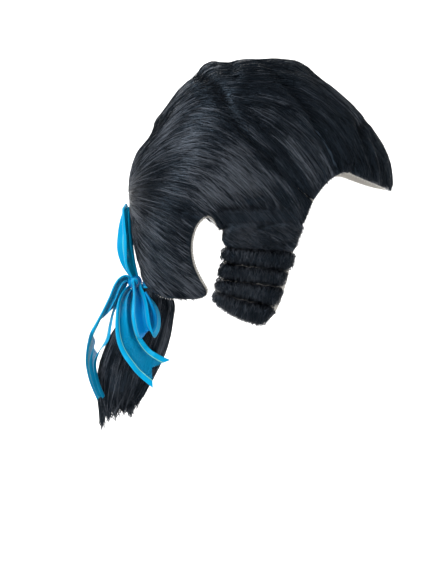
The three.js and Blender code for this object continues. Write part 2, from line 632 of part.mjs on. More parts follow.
function meshOf(name, solid, colour, roughness) {
  const made = solid.getMesh();
  const geometry = new THREE.BufferGeometry();
  geometry.setAttribute('position', new THREE.BufferAttribute(Float32Array.from(made.vertProperties), 3));
  geometry.setIndex(Array.from(made.triVerts));
  const mesh = new THREE.Mesh(geometry, new THREE.MeshStandardMaterial({ color: colour, roughness, metalness: 0 }));
  mesh.name = name;
  return mesh;
}

const wig = new THREE.Group();
wig.add(meshOf('cap_backing', buildBacking(), KNIT_PALE, 0.9));
Object.entries(buildPanels()).forEach(([name, solid]) => wig.add(meshOf(name, solid, HAIR_BLACK, 0.5)));
for (let row = 0; row < CURL_LINES.length - 1; row += 1) {
  wig.add(meshOf(`side_curl_right_${row + 1}`, buildCurl(row, -1), HAIR_BLACK, 0.5));
  wig.add(meshOf(`side_curl_left_${row + 1}`, buildCurl(row, 1), HAIR_BLACK, 0.5));
}
wig.add(meshOf('queue', buildQueue(), HAIR_BLACK, 0.5));
wig.add(meshOf('ribbon_band', buildBand(), RIBBON_BLUE, 0.4));
wig.add(meshOf('ribbon_knot', buildKnot(), RIBBON_BLUE, 0.4));
wig.add(meshOf('bow_loop_upper', buildRibbon(UPPER_LOOP_RUN, LOOP_RISE, 20), RIBBON_BLUE, 0.4));
wig.add(meshOf('bow_loop_lower', buildRibbon(LOWER_LOOP_RUN, LOOP_FALL, 18), RIBBON_BLUE, 0.4));
wig.add(meshOf('ribbon_tail_side', buildRibbon(SIDE_TAIL_RUN, SIDE_TAIL_DROP, 16), RIBBON_BLUE, 0.4));
wig.add(meshOf('ribbon_tail_rear', buildRibbon(REAR_TAIL_RUN, REAR_TAIL_DROP, 18), RIBBON_BLUE, 0.4));

export default wig;
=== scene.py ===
"""Builds a queue wig: hair panels and rolled curls on a knitted cap, a tied pony-tail and a ribbon bow."""

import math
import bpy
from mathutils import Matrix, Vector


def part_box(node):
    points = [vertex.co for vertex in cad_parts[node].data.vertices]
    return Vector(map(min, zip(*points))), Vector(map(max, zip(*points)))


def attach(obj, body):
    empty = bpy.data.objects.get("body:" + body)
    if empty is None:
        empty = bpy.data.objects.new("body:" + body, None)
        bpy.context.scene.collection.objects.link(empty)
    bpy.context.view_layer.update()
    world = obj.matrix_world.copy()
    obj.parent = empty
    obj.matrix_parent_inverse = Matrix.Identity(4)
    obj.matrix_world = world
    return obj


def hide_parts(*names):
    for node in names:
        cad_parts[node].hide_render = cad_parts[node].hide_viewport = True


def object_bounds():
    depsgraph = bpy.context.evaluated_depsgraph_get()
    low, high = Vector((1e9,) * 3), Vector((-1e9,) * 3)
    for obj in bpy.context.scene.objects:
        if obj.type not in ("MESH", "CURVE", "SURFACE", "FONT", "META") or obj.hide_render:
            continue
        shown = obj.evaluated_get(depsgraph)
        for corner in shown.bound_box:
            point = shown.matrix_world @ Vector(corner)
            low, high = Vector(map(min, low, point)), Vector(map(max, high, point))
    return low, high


bl_info = {
    "name": "Queue wig",
    "version": (1, 0, 0),
    "blender": (4, 5, 0),
    "location": "3D View > Sidebar > Wig",
    "description": "A queue wig with side curls and a sheer ribbon bow, built round its packed solids",
    "category": "Add Mesh",
}

import bpy
import numpy as np
from bpy.props import FloatProperty, FloatVectorProperty, IntProperty, PointerProperty
from mathutils import Vector

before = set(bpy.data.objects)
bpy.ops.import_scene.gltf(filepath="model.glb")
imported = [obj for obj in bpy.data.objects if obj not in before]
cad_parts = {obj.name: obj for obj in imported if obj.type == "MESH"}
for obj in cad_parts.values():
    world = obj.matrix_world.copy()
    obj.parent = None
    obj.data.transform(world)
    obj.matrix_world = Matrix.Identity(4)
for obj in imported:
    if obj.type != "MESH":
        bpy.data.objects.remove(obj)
CAD_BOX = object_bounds()

# Sizes of the cap, in metres. Drops are measured down from the outside of the crown.
CAP_LENGTH = 0.230
CAP_DROP = 0.207
HALF_WIDTH = 0.088
HAIR_WALL = 0.005
GAP = 0.00035
BACKING_WALL = 0.0015
CROWN_TOP = HAIR_WALL + GAP + BACKING_WALL
PLAN_POWER = 2.3
# Swellings of the pile: ahead, drop, height and radius. The first is the crown's tuft.
TUFTS = [(-0.205, 0.030, 0.0062, 0.014), (-0.418, 0.262, 0.0042, 0.010)]
# The arch at the nape cuts only what lies behind ARCH_AHEAD.
ARCH_WIDTH = 0.050
ARCH_DROP = 0.166
ARCH_AHEAD = -0.06
# The pile's edge at the free rim is rolled over: how far in the roll begins, and how far it sinks.
ROLL_REACH = 0.006
ROLL_SINK = 0.0026
# How far the foundation's edge shows past the rim, and stays inside the tab and outside the arch.
RIM_SHOW = 0.0003
TAB_INSET = 0.0010
ARCH_INSET = 0.0020

# Level sections of the cap: drop, then back, front and half width, as shares.
SECTIONS = np.array([
    (0.000, 0.000, 0.000, 0.000), (0.007, 0.083, 0.113, 0.295), (0.025, 0.159, 0.159, 0.489),
    (0.059, 0.227, 0.200, 0.625), (0.109, 0.295, 0.253, 0.739), (0.168, 0.340, 0.314, 0.818),
    (0.244, 0.386, 0.382, 0.898), (0.319, 0.426, 0.431, 0.949), (0.412, 0.480, 0.477, 0.989),
    (0.513, 0.503, 0.492, 1.000), (0.614, 0.501, 0.484, 0.989), (0.714, 0.492, 0.469, 0.949),
    (0.815, 0.483, 0.454, 0.898), (0.925, 0.483, 0.439, 0.852), (1.034, 0.473, 0.424, 0.818),
    (1.180, 0.460, 0.409, 0.795),
])
DROP, BACK, FRONT, HALF = range(4)
LAST = len(SECTIONS) - 1
# Rows above these places are treated apart, because all turns meet at the crown's pole.
SLOPE_FIRST, NORMAL_FIRST, POLE_FLAT, STRAND_FIRST = 0.03, 0.05, 0.06, 0.12

# Lines of the side view: share of CAP_LENGTH ahead of the seat, share of CAP_DROP below the crown.
RIM_LINE = [
    (-0.640, 0.832), (-0.484, 0.849), (-0.465, 0.912), (-0.427, 0.971), (-0.367, 0.998),
    (-0.287, 1.004), (-0.238, 1.000), (-0.212, 0.979), (-0.235, 0.933), (-0.265, 0.862),
    (-0.274, 0.786), (-0.257, 0.710), (-0.223, 0.668), (-0.193, 0.668), (-0.163, 0.719),
    (-0.144, 0.683), (0.000, 0.677), (0.151, 0.672), (0.170, 0.639), (0.197, 0.584),
    (0.238, 0.525), (0.284, 0.490), (0.322, 0.483), (0.386, 0.509), (0.461, 0.538), (0.620, 0.590),
]
TAB_LINE = [
    (-0.138, 0.650), (-0.142, 0.757), (-0.150, 0.849), (-0.164, 0.946), (-0.174, 1.004),
    (-0.140, 1.030), (-0.083, 1.058), (-0.015, 1.088), (0.026, 1.090), (0.061, 1.036),
    (0.091, 0.941), (0.111, 0.849), (0.127, 0.757), (0.146, 0.640),
]
CROWN_SEAM = [
    (-0.640, -0.080), (-0.348, 0.025), (-0.246, 0.080), (-0.212, 0.101), (-0.182, 0.130),
    (-0.148, 0.185), (-0.125, 0.244), (-0.083, 0.315), (-0.023, 0.387), (0.038, 0.454),
    (0.098, 0.517), (0.148, 0.567), (0.212, 0.622), (0.314, 0.689),
]
FRONT_SEAM = [
    (0.640, 0.000), (0.465, 0.134), (0.409, 0.227), (0.371, 0.294), (0.352, 0.361),
    (0.359, 0.420), (0.340, 0.462), (0.322, 0.513), (0.310, 0.640),
]

# Folds of the hair: depth and width in metres, and the line that each follows.
FOLDS = [
    (0.0038, 0.0036, CROWN_SEAM),
    (0.0020, 0.0034, FRONT_SEAM),
    (0.0046, 0.0034, [(0.000, 0.017), (0.049, 0.076), (0.102, 0.139), (0.163, 0.227),
                      (0.200, 0.307), (0.246, 0.387), (0.272, 0.462)]),
    (0.0040, 0.0028, [(0.363, 0.286), (0.374, 0.345), (0.393, 0.403), (0.412, 0.462)]),
    (0.0040, 0.0028, [(0.412, 0.328), (0.435, 0.387), (0.446, 0.446), (0.461, 0.521)]),
    (0.0026, 0.0028, [(0.023, 0.042), (0.106, 0.055), (0.174, 0.063), (0.227, 0.092)]),
    (0.0036, 0.0034, [(-0.461, 0.340), (-0.424, 0.315), (-0.393, 0.282), (-0.363, 0.244)]),
    (0.0042, 0.0046, [(-0.132, -0.010), (-0.132, 0.030), (-0.112, 0.080)]),
    (0.0020, 0.0028, [(-0.098, 0.168), (-0.038, 0.252), (0.030, 0.345), (0.106, 0.454), (0.159, 0.546)]),
    (0.0024, 0.0030, [(-0.140, 0.640), (-0.060, 0.632), (0.020, 0.610), (0.080, 0.585)]),
    (0.0018, 0.0030, [(-0.130, 0.585), (-0.050, 0.575), (0.040, 0.550)]),
    (0.0020, 0.0024, [(-0.310, 0.640), (-0.276, 0.655), (-0.255, 0.670)]),
]

# Which way the pile lies in the side view, root to tip: ahead, drop, and degrees above level.
PILE_LIE = np.array([
    (-0.46, 0.42, 50), (-0.41, 0.29, 45), (-0.33, 0.19, 48), (-0.26, 0.12, 35), (-0.21, 0.09, 10),
    (-0.20, 0.18, -35), (-0.33, 0.33, 20), (-0.33, 0.40, 15), (-0.21, 0.33, -10), (-0.21, 0.39, -15),
    (-0.21, 0.47, -30), (-0.09, 0.48, -45), (0.05, 0.63, -50), (-0.15, 0.25, -62), (-0.09, 0.38, -48),
    (0.01, 0.53, -48), (-0.40, 0.53, 14), (-0.46, 0.53, 18), (-0.28, 0.53, -10), (-0.23, 0.61, -45),
    (-0.33, 0.61, -20), (-0.40, 0.63, -18), (-0.46, 0.59, 0), (-0.46, 0.65, -20),
    (-0.46, 0.72, -38), (-0.44, 0.79, -56), (-0.35, 0.74, -30),
    (-0.30, 0.71, -30), (-0.29, 0.82, -20), (-0.40, 0.87, -40), (-0.33, 0.92, -25), (-0.24, 0.96, -45),
    (-0.18, 0.63, -60), (-0.12, 0.70, -55), (-0.05, 0.07, 5), (-0.10, 0.15, 5), (0.00, 0.16, -5),
    (0.10, 0.20, -30), (0.16, 0.28, -50), (0.22, 0.36, -55), (-0.05, 0.25, -30), (-0.03, 0.34, -45),
    (0.07, 0.29, -42), (0.09, 0.42, -47), (0.14, 0.50, -50), (0.18, 0.57, -65), (0.14, 0.65, -72),
    (0.24, 0.42, -60), (0.29, 0.38, -55), (0.20, 0.14, -20), (0.14, 0.06, -10), (0.26, 0.17, -35),
    (0.31, 0.25, -45), (0.33, 0.35, -60), (0.05, 0.03, 0), (0.38, 0.32, -60), (0.39, 0.42, -80),
    (0.44, 0.43, -75), (0.47, 0.45, -70), (0.35, 0.46, -95), (0.43, 0.34, -60),
])
# How far a row's bell reaches, as a squared share, and how far the pile's base lies under the cap's outline.
LIE_SPREAD = 0.013
PILE_SINK = 0.0008
# The soft parting at the back: how strongly the pile turns outwards, and the half width over which it swings.
PARTING_PULL = 0.9
PARTING_SOFT = 0.004

# How much paler or darker the pile is painted, as painted sheen and painted shade: ahead, drop, and the
# change of shade.
PAINTED_SHEEN_AND_SHADE = np.array([
    (-0.30, 0.10, -0.10), (-0.10, 0.06, -0.30), (0.10, 0.08, -0.30), (0.22, 0.22, -0.26), (0.36, 0.34, -0.26),
    (-0.40, 0.30, 0.00), (-0.22, 0.28, 0.00), (-0.38, 0.46, -0.08), (-0.24, 0.46, 0.08), (-0.10, 0.34, 0.02),
    (0.02, 0.28, -0.18), (0.10, 0.46, 0.02), (-0.02, 0.54, 0.14), (0.12, 0.62, -0.02), (-0.40, 0.66, -0.06),
    (-0.26, 0.66, 0.00), (-0.36, 0.86, 0.06), (-0.24, 0.86, 0.02),
])

# Strands of a panel: their stations, how far one may pass the rim and a seam, and their half thickness.
STATIONS = 5
OVERHANG = 0.0022
SEAM_SPILL = 0.005
STRAND_THICK = 0.00030
# Clumps of strands stand higher and are painted paler, a painted highlight, with painted shade between them:
# their size, and how high they stand.
CLUMP_SIZE = 0.011
CLUMP_RISE = 0.0011
# A fold as deep as FOLD_FULL has its strands painted darker by the first value below, as painted shade in the
# fold.
FOLD_PAINTED_SHADE = 0.85
FOLD_FULL = 0.0028
# The wall under the strands: its unevenness, how far below the pile it lies, and its least thickness.
WALL_RIPPLE = 0.0004
WALL_BELOW = 0.0003
WALL_LEAST = 0.0004

# The lines between the curls of a tab: their ends at the ear side and the face side, and the middle's sag.
CURL_LINES = [
    ((-0.146, 0.684), (0.152, 0.676), 0.000), ((-0.150, 0.784), (0.119, 0.803), 0.000),
    ((-0.156, 0.847), (0.108, 0.884), 0.002), ((-0.168, 0.916), (0.094, 0.950), 0.000),
    ((-0.180, 0.967), (0.072, 1.036), 0.004), ((-0.187, 1.014), (0.022, 1.112), 0.022),
]
# A curl's half depth, how far its middle stands off the cap, and how much it overfills its space.
CURL_DEPTH = 0.009
CURL_STAND = 0.004
CURL_FILL = 0.0003
# How much of the tab its face end leaves bare, and over what length its ends close.
CURL_END_BARE = 0.0038
CURL_END_ROUND = 0.0075
CURL_END_LEAST = 0.0006
# How far the top curl's upper side draws back into the panel, and how much a curl leans forward at its top.
CURL_BLEND = 0.0045
CURL_LEAN = (0.25, 0.4)
# The roll under a curl's strands lies this far in, and its strands are this thick.
CURL_CORE = 0.0006
CURL_THICK = 0.00026
# Strands that blend the top curl into the panel: how many, and how far up the panel they start.
BRIDGE_STRANDS = 620
BRIDGE_REACH = 0.013

# Creases of the top curl: where its hair doubles over itself, and round the puff at its face end.
PUFF_CREASES = [
    [(-0.061, 0.742), (-0.030, 0.716), (-0.010, 0.702), (0.028, 0.690), (0.062, 0.682)],
    [(0.022, 0.742), (0.036, 0.772), (0.070, 0.782), (0.108, 0.764)],
]
CREASE_DEPTH = 0.0026
CREASE_WIDTH = 0.0022
PUFF_RISE = 0.0004

# Sections of the queue: share of its length below the root, back, depth and width, as shares.
QUEUE_LENGTH = 0.155
QUEUE_DEPTH = 0.054
QUEUE_WIDTH = 0.048
QUEUE_ROOT_DROP = 0.165
QUEUE_TIE = 0.185
# The core ends at QUEUE_CORE_END, the surface at QUEUE_END, and strands turn to their locks from LOCK_START.
QUEUE_CORE_END = 0.80
QUEUE_END = 0.86
LOCK_START = 0.62
QUEUE = np.array([
    (-0.060, 0.442, 0.16, 0.36), (0.000, 0.430, 0.25, 0.42), (0.090, 0.413, 0.30, 0.50),
    (0.185, 0.402, 0.35, 0.52), (0.250, 0.405, 0.52, 0.68), (0.315, 0.414, 0.71, 0.82),
    (0.395, 0.435, 0.84, 0.92), (0.490, 0.461, 0.97, 0.98), (0.585, 0.484, 1.00, 1.00),
    (0.675, 0.507, 0.97, 0.96), (0.760, 0.526, 0.87, 0.83), (0.835, 0.545, 0.62, 0.62),
    (0.890, 0.556, 0.36, 0.34),
])


def column(rows, k, place):
    """Catmull-Rom value of column k at fractional row numbers: a cubic through the rows each side."""
    last = len(rows) - 1
    i = np.clip(np.floor(place).astype(int), 0, last - 1)
    f = place - i
    a, b, c, d = (rows[np.clip(i + o, 0, last), k] for o in (-1, 0, 1, 2))
    return b + 0.5 * f * (c - a + f * (2 * a - 5 * b + 4 * c - d + f * (3 * (b - c) + d - a)))


def place_of(rows, k, value):
    """The fractional row number where a rising column reaches each value, by halving the interval."""
    low = np.zeros_like(value)
    high = np.full_like(value, len(rows) - 1.0)
    for _ in range(30):
        middle = (low + high) / 2
        below = column(rows, k, middle) < value
        low, high = np.where(below, middle, low), np.where(below, high, middle)
    return (low + high) / 2


def smooth_line(line, steps=60):
    """A side-view line in metres, as Catmull-Rom steps through its points."""
    rows = np.array(line, float)
    place = np.linspace(0, len(rows) - 1, steps)
    return np.stack([column(rows, 0, place) * CAP_LENGTH, CROWN_TOP - column(rows, 1, place) * CAP_DROP], 1)


def line_distance(x, z, line):
    """Least distance from each side-view point to a polyline: the clamped foot on each segment."""
    best = np.full(x.shape, np.inf)
    for (ax, az), (bx, bz) in zip(line[:-1], line[1:]):
        dx, dz = bx - ax, bz - az
        t = np.clip(((x - ax) * dx + (z - az) * dz) / (dx * dx + dz * dz + 1e-12), 0, 1)
        best = np.minimum(best, np.hypot(x - ax - t * dx, z - az - t * dz))
    return best


def within(x, z, outline):
    """Whether a side-view point is inside a closed outline: a ray to its right crosses it oddly often."""
    inside = np.zeros(x.shape, bool)
    for (ax, az), (bx, bz) in zip(outline, np.roll(outline, -1, axis=0)):
        crosses = (az > z) != (bz > z)
        inside ^= crosses & (x < ax + (z - az) * (bx - ax) / np.where(bz == az, 1e-12, bz - az))
    return inside


def depth_inside(x, z, line, closing):
    """Signed distance to a line, positive on the side that the closing points shut in."""
    outline = np.concatenate([line, np.array(closing).reshape(-1, 2)])
    return np.where(within(x, z, outline), 1, -1) * line_distance(x, z, line)


RIM = smooth_line(RIM_LINE, 90)
# The panel's edge, which runs on under the top curl where the curl hides it.
HAIR_RIM = smooth_line(RIM_LINE[:15] + [(-0.136, 0.712), (0.000, 0.716), (0.130, 0.708)] + RIM_LINE[18:], 90)
TAB = smooth_line(TAB_LINE, 50)
SEAM_A = smooth_line(CROWN_SEAM, 50)
SEAM_B = smooth_line(FRONT_SEAM, 40)
FOLD_PATHS = [(deep, wide, smooth_line(line, 24)) for deep, wide, line in FOLDS]
FAR = 0.4


def above_rim(p, rim=RIM):
    """Distance above the rim, which is closed far above the crown."""
    closing = [(FAR, rim[-1][1]), (FAR, FAR), (-FAR, FAR), (-FAR, rim[0][1])]
    return depth_inside(p[..., 0], p[..., 2], rim, closing)


def on_tab(p):
    """Distance inside the outline of a side tab."""
    return depth_inside(p[..., 0], p[..., 2], TAB, [])


FREE_RIM = [smooth_line(RIM_LINE[:15], 60), smooth_line(RIM_LINE[17:], 40)]


def rounded_edge(p):
    """How far the pile sinks at the free rim and the arch, where the wall's edge is rolled over."""
    rim = np.minimum(*(line_distance(p[..., 0], p[..., 2], line) for line in FREE_RIM))
    short = 1 - np.clip(np.minimum(rim, np.maximum(clear_of_arch(p), 0)) / ROLL_REACH, 0, 1)
    return ROLL_SINK * (1 - np.sqrt(1 - short * short))


def past_seam(p, seam, way):
    """Distance past a seam: way is -1 for what lies behind it and 1 for what lies ahead of it."""
    closing = [(seam[-1][0], -FAR), (way * FAR, -FAR), (way * FAR, seam[0][1])]
    return depth_inside(p[..., 0], p[..., 2], seam, closing)


def clear_of_arch(p):
    """Distance outside the arch at the nape: a half circle on two uprights, at the back only."""
    radius = ARCH_WIDTH / 2
    rise = np.maximum(p[..., 2] - (CROWN_TOP - ARCH_DROP - radius), 0)
    away = np.hypot(p[..., 1], rise) - radius
    return np.where(p[..., 0] < ARCH_AHEAD, away, FAR)


def level_of(z):
    """The fractional row of SECTIONS at each height."""
    return place_of(SECTIONS, DROP, (CROWN_TOP - z) / CAP_DROP)


def reach_of(ahead, place):
    """How far a level reaches, to the brow where ahead is over 0 and to the back elsewhere."""
    return np.where(ahead > 0, column(SECTIONS, FRONT, place), column(SECTIONS, BACK, place)) * CAP_LENGTH


def cap_point(turn, place):
    """The cap's surface: superellipses in plan, whose back, front and half width follow SECTIONS."""
    c, s = np.cos(turn), np.sin(turn)
    half = column(SECTIONS, HALF, place) * HALF_WIDTH
    power = 2 / PLAN_POWER
    x = np.sign(c) * reach_of(c, place) * np.abs(c) ** power
    y = np.sign(s) * half * np.abs(s) ** power
    return np.stack([x, y, CROWN_TOP - column(SECTIONS, DROP, place) * CAP_DROP], -1)


def cap_slopes(turn, place):
    """How the surface moves with turn and with place: central differences."""
    step = 0.02
    low, high = np.clip(place - step, SLOPE_FIRST, LAST), np.clip(place + step, SLOPE_FIRST, LAST)
    round_it = (cap_point(turn + step, place) - cap_point(turn - step, place)) / (2 * step)
    down_it = (cap_point(turn, high) - cap_point(turn, low)) / np.maximum(high - low, 1e-6)[..., None]
    return round_it, down_it


def unit(v):
    """Vectors of the same direction and of length 1."""
    return v / np.maximum(np.linalg.norm(v, axis=-1, keepdims=True), 1e-12)


def cap_normal(turn, place):
    """Outward normal: the cross product of the two slopes, straight up at the crown's pole."""
    round_it, down_it = cap_slopes(turn, np.maximum(place, NORMAL_FIRST))
    n = unit(np.cross(down_it, round_it))
    n[place < POLE_FLAT] = (0, 0, 1)
    return n


def fold_sink(p):
    """How far the folds sink the pile: the deepest bell across any fold line, less the tufts."""
    deepest = np.zeros(p.shape[:-1])
    for deep, wide, line in FOLD_PATHS:
        away = line_distance(p[..., 0], p[..., 2], line)
        deepest = np.maximum(deepest, deep * np.exp(-((away / wide) ** 2)))
    for ahead, drop, height, radius in TUFTS:
        away = ((p[..., 0] - ahead * CAP_LENGTH) ** 2 + (p[..., 1] / 2) ** 2
                + (p[..., 2] - CROWN_TOP + drop * CAP_DROP) ** 2) / radius ** 2
        deepest = deepest - height * np.exp(-away)
    return deepest


def ripple(p, size, seed):
    """Soft unevenness between -1 and 1: a sum of sine waves in seeded directions."""
    rng = np.random.default_rng(seed)
    total = np.zeros(p.shape[:-1])
    for _ in range(6):
        wave = unit(rng.normal(size=3)) * rng.uniform(0.6, 1.6) * 2 * math.pi / size
        total += np.sin(p @ wave + rng.uniform(0, 2 * math.pi))
    return total / 6


def bell_weights(p, rows):
    """The weight of each table row at each point: a bell over their distance apart in the side view."""
    share = np.stack([p[..., 0] / CAP_LENGTH, (CROWN_TOP - p[..., 2]) / CAP_DROP], -1)
    return np.exp(-((share[..., None, :] - rows[:, :2]) ** 2).sum(-1) / LIE_SPREAD) + 1e-9


def pile_direction(p, normal):
    """The lie of the pile: a bell-weighted mean of PILE_LIE in the side view, laid along the surface.

    Where the cap faces backwards, the pile also swings away from the middle plane, in a soft parting.
    """
    weight = bell_weights(p, PILE_LIE)
    angle = np.radians(PILE_LIE[:, 2])
    lie = unit(np.stack([(weight * np.cos(angle)).sum(-1), np.zeros(weight.shape[:-1]),
                         (weight * np.sin(angle)).sum(-1)], -1))
    swing = p[..., 1] / (np.abs(p[..., 1]) + PARTING_SOFT)
    lie[..., 1] = PARTING_PULL * swing * np.clip(-normal[..., 0], 0, 1) ** 2
    return unit(lie - normal * (lie * normal).sum(-1, keepdims=True))


def painted_sheen_and_shade_at(p):
    """How much paler or darker the pile is painted at each point, as painted sheen and painted shade: a
    bell-weighted mean of the table's rows in the side view.
    """
    weight = bell_weights(p, PAINTED_SHEEN_AND_SHADE)
    return (weight * PAINTED_SHEEN_AND_SHADE[:, 2]).sum(-1) / weight.sum(-1)


def trim(turn, place, triangles, depth):
    """Keeps the part of a triangle net where depth is over 0, cutting the triangles that cross 0."""
    depth = np.where(np.abs(depth) < 2e-5, -2e-5, depth)
    held = depth > 0
    count = held[triangles].sum(1)
    crossing = triangles[(count == 1) | (count == 2)]
    one_in = held[crossing].sum(1) == 1
    odd = np.where(one_in, np.argmax(held[crossing], 1), np.argmin(held[crossing], 1))
    rows = np.arange(len(crossing))
    a, b, c = (crossing[rows, (odd + k) % 3] for k in range(3))
    pairs = np.sort(np.concatenate([np.stack([a, b], 1), np.stack([a, c], 1)]), axis=1)
    edges, at = np.unique(pairs, axis=0, return_inverse=True)
    at = at.reshape(-1)
    i, j = edges[:, 0], edges[:, 1]
    f = depth[i] / (depth[i] - depth[j])
    swing = (turn[j] - turn[i] + math.pi) % (2 * math.pi) - math.pi
    new_turn, new_place = turn[i] + f * swing, place[i] + f * (place[j] - place[i])
    ab, ac = at[:len(a)] + len(turn), at[len(a):] + len(turn)
    kept = np.concatenate([
        triangles[count == 3], np.stack([a, ab, ac], 1)[one_in],
        np.stack([ab, b, c], 1)[~one_in], np.stack([ab, c, ac], 1)[~one_in]])
    used, kept = np.unique(kept, return_inverse=True)
    kept = kept.reshape(-1, 3)
    return np.concatenate([turn, new_turn])[used], np.concatenate([place, new_place])[used], kept


def cap_net(around, down, top=0.04):
    """A triangle net over the whole cap in turn and place, with one point at the crown's pole."""
    turn, place = np.meshgrid(np.arange(around) / around * 2 * math.pi, np.linspace(top, LAST, down))
    i, k = np.meshgrid(np.arange(down - 1), np.arange(around), indexing="ij")
    a, b = i * around + k, i * around + (k + 1) % around
    c, d = a + around, b + around
    net = np.concatenate([np.stack([a, c, b], -1).reshape(-1, 3), np.stack([b, c, d], -1).reshape(-1, 3)])
    pole = around * down
    first = np.arange(around)
    fan = np.stack([np.full(around, pole), first, (first + 1) % around], 1)
    return np.append(turn.ravel(), 0.0), np.append(place.ravel(), 0.0), np.concatenate([net, fan])


def grid_net(rows, columns, wrap=True):
    """Two triangles for each square of a grid of points; wrap joins the last column to the first."""
    i, k = np.meshgrid(np.arange(rows - 1), np.arange(columns if wrap else columns - 1), indexing="ij")
    a, b = i * columns + k, i * columns + (k + 1) % columns
    return np.concatenate([np.stack([a, b, b + columns], -1).reshape(-1, 3),
                           np.stack([a, b + columns, a + columns], -1).reshape(-1, 3)])


def closed_tube(grid):
    """A tube through a grid of rings, closed by a fan to the middle of each end ring."""
    rows, around = grid.shape[:2]
    ring, ends = np.arange(around), rows * around
    first = np.stack([np.full(around, ends), (ring + 1) % around, ring], 1)
    last = np.stack([np.full(around, ends + 1), ends - around + ring, ends - around + (ring + 1) % around], 1)
    points = np.concatenate([grid.reshape(-1, 3), grid[:1].mean(1), grid[-1:].mean(1)])
    return points, np.concatenate([grid_net(rows, around), first, last])


def shell(outer, inner, triangles):
    """A closed wall: an outer and an inner layer on one net, joined along the net's open edges."""
    n = len(outer)
    directed = np.concatenate([triangles[:, [0, 1]], triangles[:, [1, 2]], triangles[:, [2, 0]]])
    _, first, uses = np.unique(np.sort(directed, axis=1), axis=0, return_index=True, return_counts=True)
    a, b = directed[first[uses == 1]].T
    wall = np.concatenate([np.stack([b, a, a + n], 1), np.stack([b, a + n, b + n], 1)])
    return np.concatenate([outer, inner]), np.concatenate([triangles, triangles[:, ::-1] + n, wall])


def outward(points, triangles):
    """Turns every face round if the closed mesh's signed volume is negative."""
    a, b, c = (points[triangles[:, k]] for k in range(3))
    return triangles if (a * np.cross(b, c)).sum() > 0 else triangles[:, ::-1]


def join(parts):
    """Joins (points, triangles, shade) meshes into one, renumbering the triangles."""
    points, triangles, shades, start = [], [], [], 0
    for p, t, s in parts:
        points.append(p)
        triangles.append(outward(p, t) + start)
        shades.append(np.broadcast_to(s, len(p)))
        start += len(p)
    return np.concatenate(points), np.concatenate(triangles), np.concatenate(shades)


def new_piece(name, points, triangles, material, replaced, shade=None, uv=None):
    """Puts a mesh into the scene as a piece at the origin, which rides on the wig and replaces CAD nodes."""
    mesh = bpy.data.meshes.new(name)
    mesh.vertices.add(len(points))
    mesh.vertices.foreach_set("co", np.ascontiguousarray(points, np.float32).ravel())
    mesh.loops.add(len(triangles) * 3)
    mesh.loops.foreach_set("vertex_index", np.ascontiguousarray(triangles, np.int32).ravel())
    mesh.polygons.add(len(triangles))
    mesh.polygons.foreach_set("loop_start", np.arange(0, len(triangles) * 3, 3, dtype=np.int32))
    mesh.polygons.foreach_set("use_smooth", np.ones(len(triangles), bool))
    if shade is not None:
        mesh.attributes.new("shade", "FLOAT", "POINT").data.foreach_set("value", shade.astype(np.float32))
    if uv is not None:
        corners = uv[triangles.ravel()].astype(np.float32)
        mesh.uv_layers.new(name="UVMap").data.foreach_set("uv", corners.ravel())
    mesh.update()
    mesh.validate()
    mesh.materials.append(material)
    piece = bpy.data.objects.new(name, mesh)
    bpy.context.scene.collection.objects.link(piece)
    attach(piece, "root")
    if replaced:
        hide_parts(*replaced)
    return piece


def strand_mesh(path, side, lift, width, thick, shade):
    """Closed three-sided strands: a point at each end of a path, with rings between that swell and taper.

    path, side and lift are (strand, station, 3): the stations, and the directions across and away.
    """
    count, stations = path.shape[:2]
    along = np.linspace(0, 1, stations)[1:-1]
    swell = np.sin(math.pi * along ** 0.8) ** 0.6
    corner = np.radians([90, 210, 330])
    swell = swell[:, None, None]
    wide = np.cos(corner)[:, None] * width[:, None, None, None] * swell
    tall = np.sin(corner)[:, None] * thick[:, None, None, None] * swell
    rings = path[:, 1:-1, None, :] + side[:, 1:-1, None, :] * wide + lift[:, 1:-1, None, :] * tall
    rings = rings.reshape(count, -1, 3)
    points = np.concatenate([path[:, :1], rings, path[:, -1:]], 1)
    each = points.shape[1]
    faces = [(0, 1 + (k + 1) % 3, 1 + k) for k in range(3)]
    for r in range(stations - 3):
        for k in range(3):
            a, b = 1 + 3 * r + k, 1 + 3 * r + (k + 1) % 3
            faces += [(a, b, b + 3), (a, b + 3, a + 3)]
    end = 1 + 3 * (stations - 3)
    faces += [(each - 1, end + k, end + (k + 1) % 3) for k in range(3)]
    triangles = (np.array(faces)[None] + (np.arange(count) * each)[:, None, None]).reshape(-1, 3)
    return points.reshape(-1, 3), triangles, np.repeat(shade, each)


def scatter(points, triangles, count, rng):
    """Random places on a mesh, evenly by area: the triangle of each, and its three weights."""
    a, b, c = (points[triangles[:, k]] for k in range(3))
    area = np.linalg.norm(np.cross(b - a, c - a), axis=1)
    chosen = rng.choice(len(triangles), count, p=area / area.sum())
    u, v = rng.random(count), rng.random(count)
    over = u + v > 1
    u, v = np.where(over, 1 - u, u), np.where(over, 1 - v, v)
    return chosen, np.stack([1 - u - v, u, v], 1)


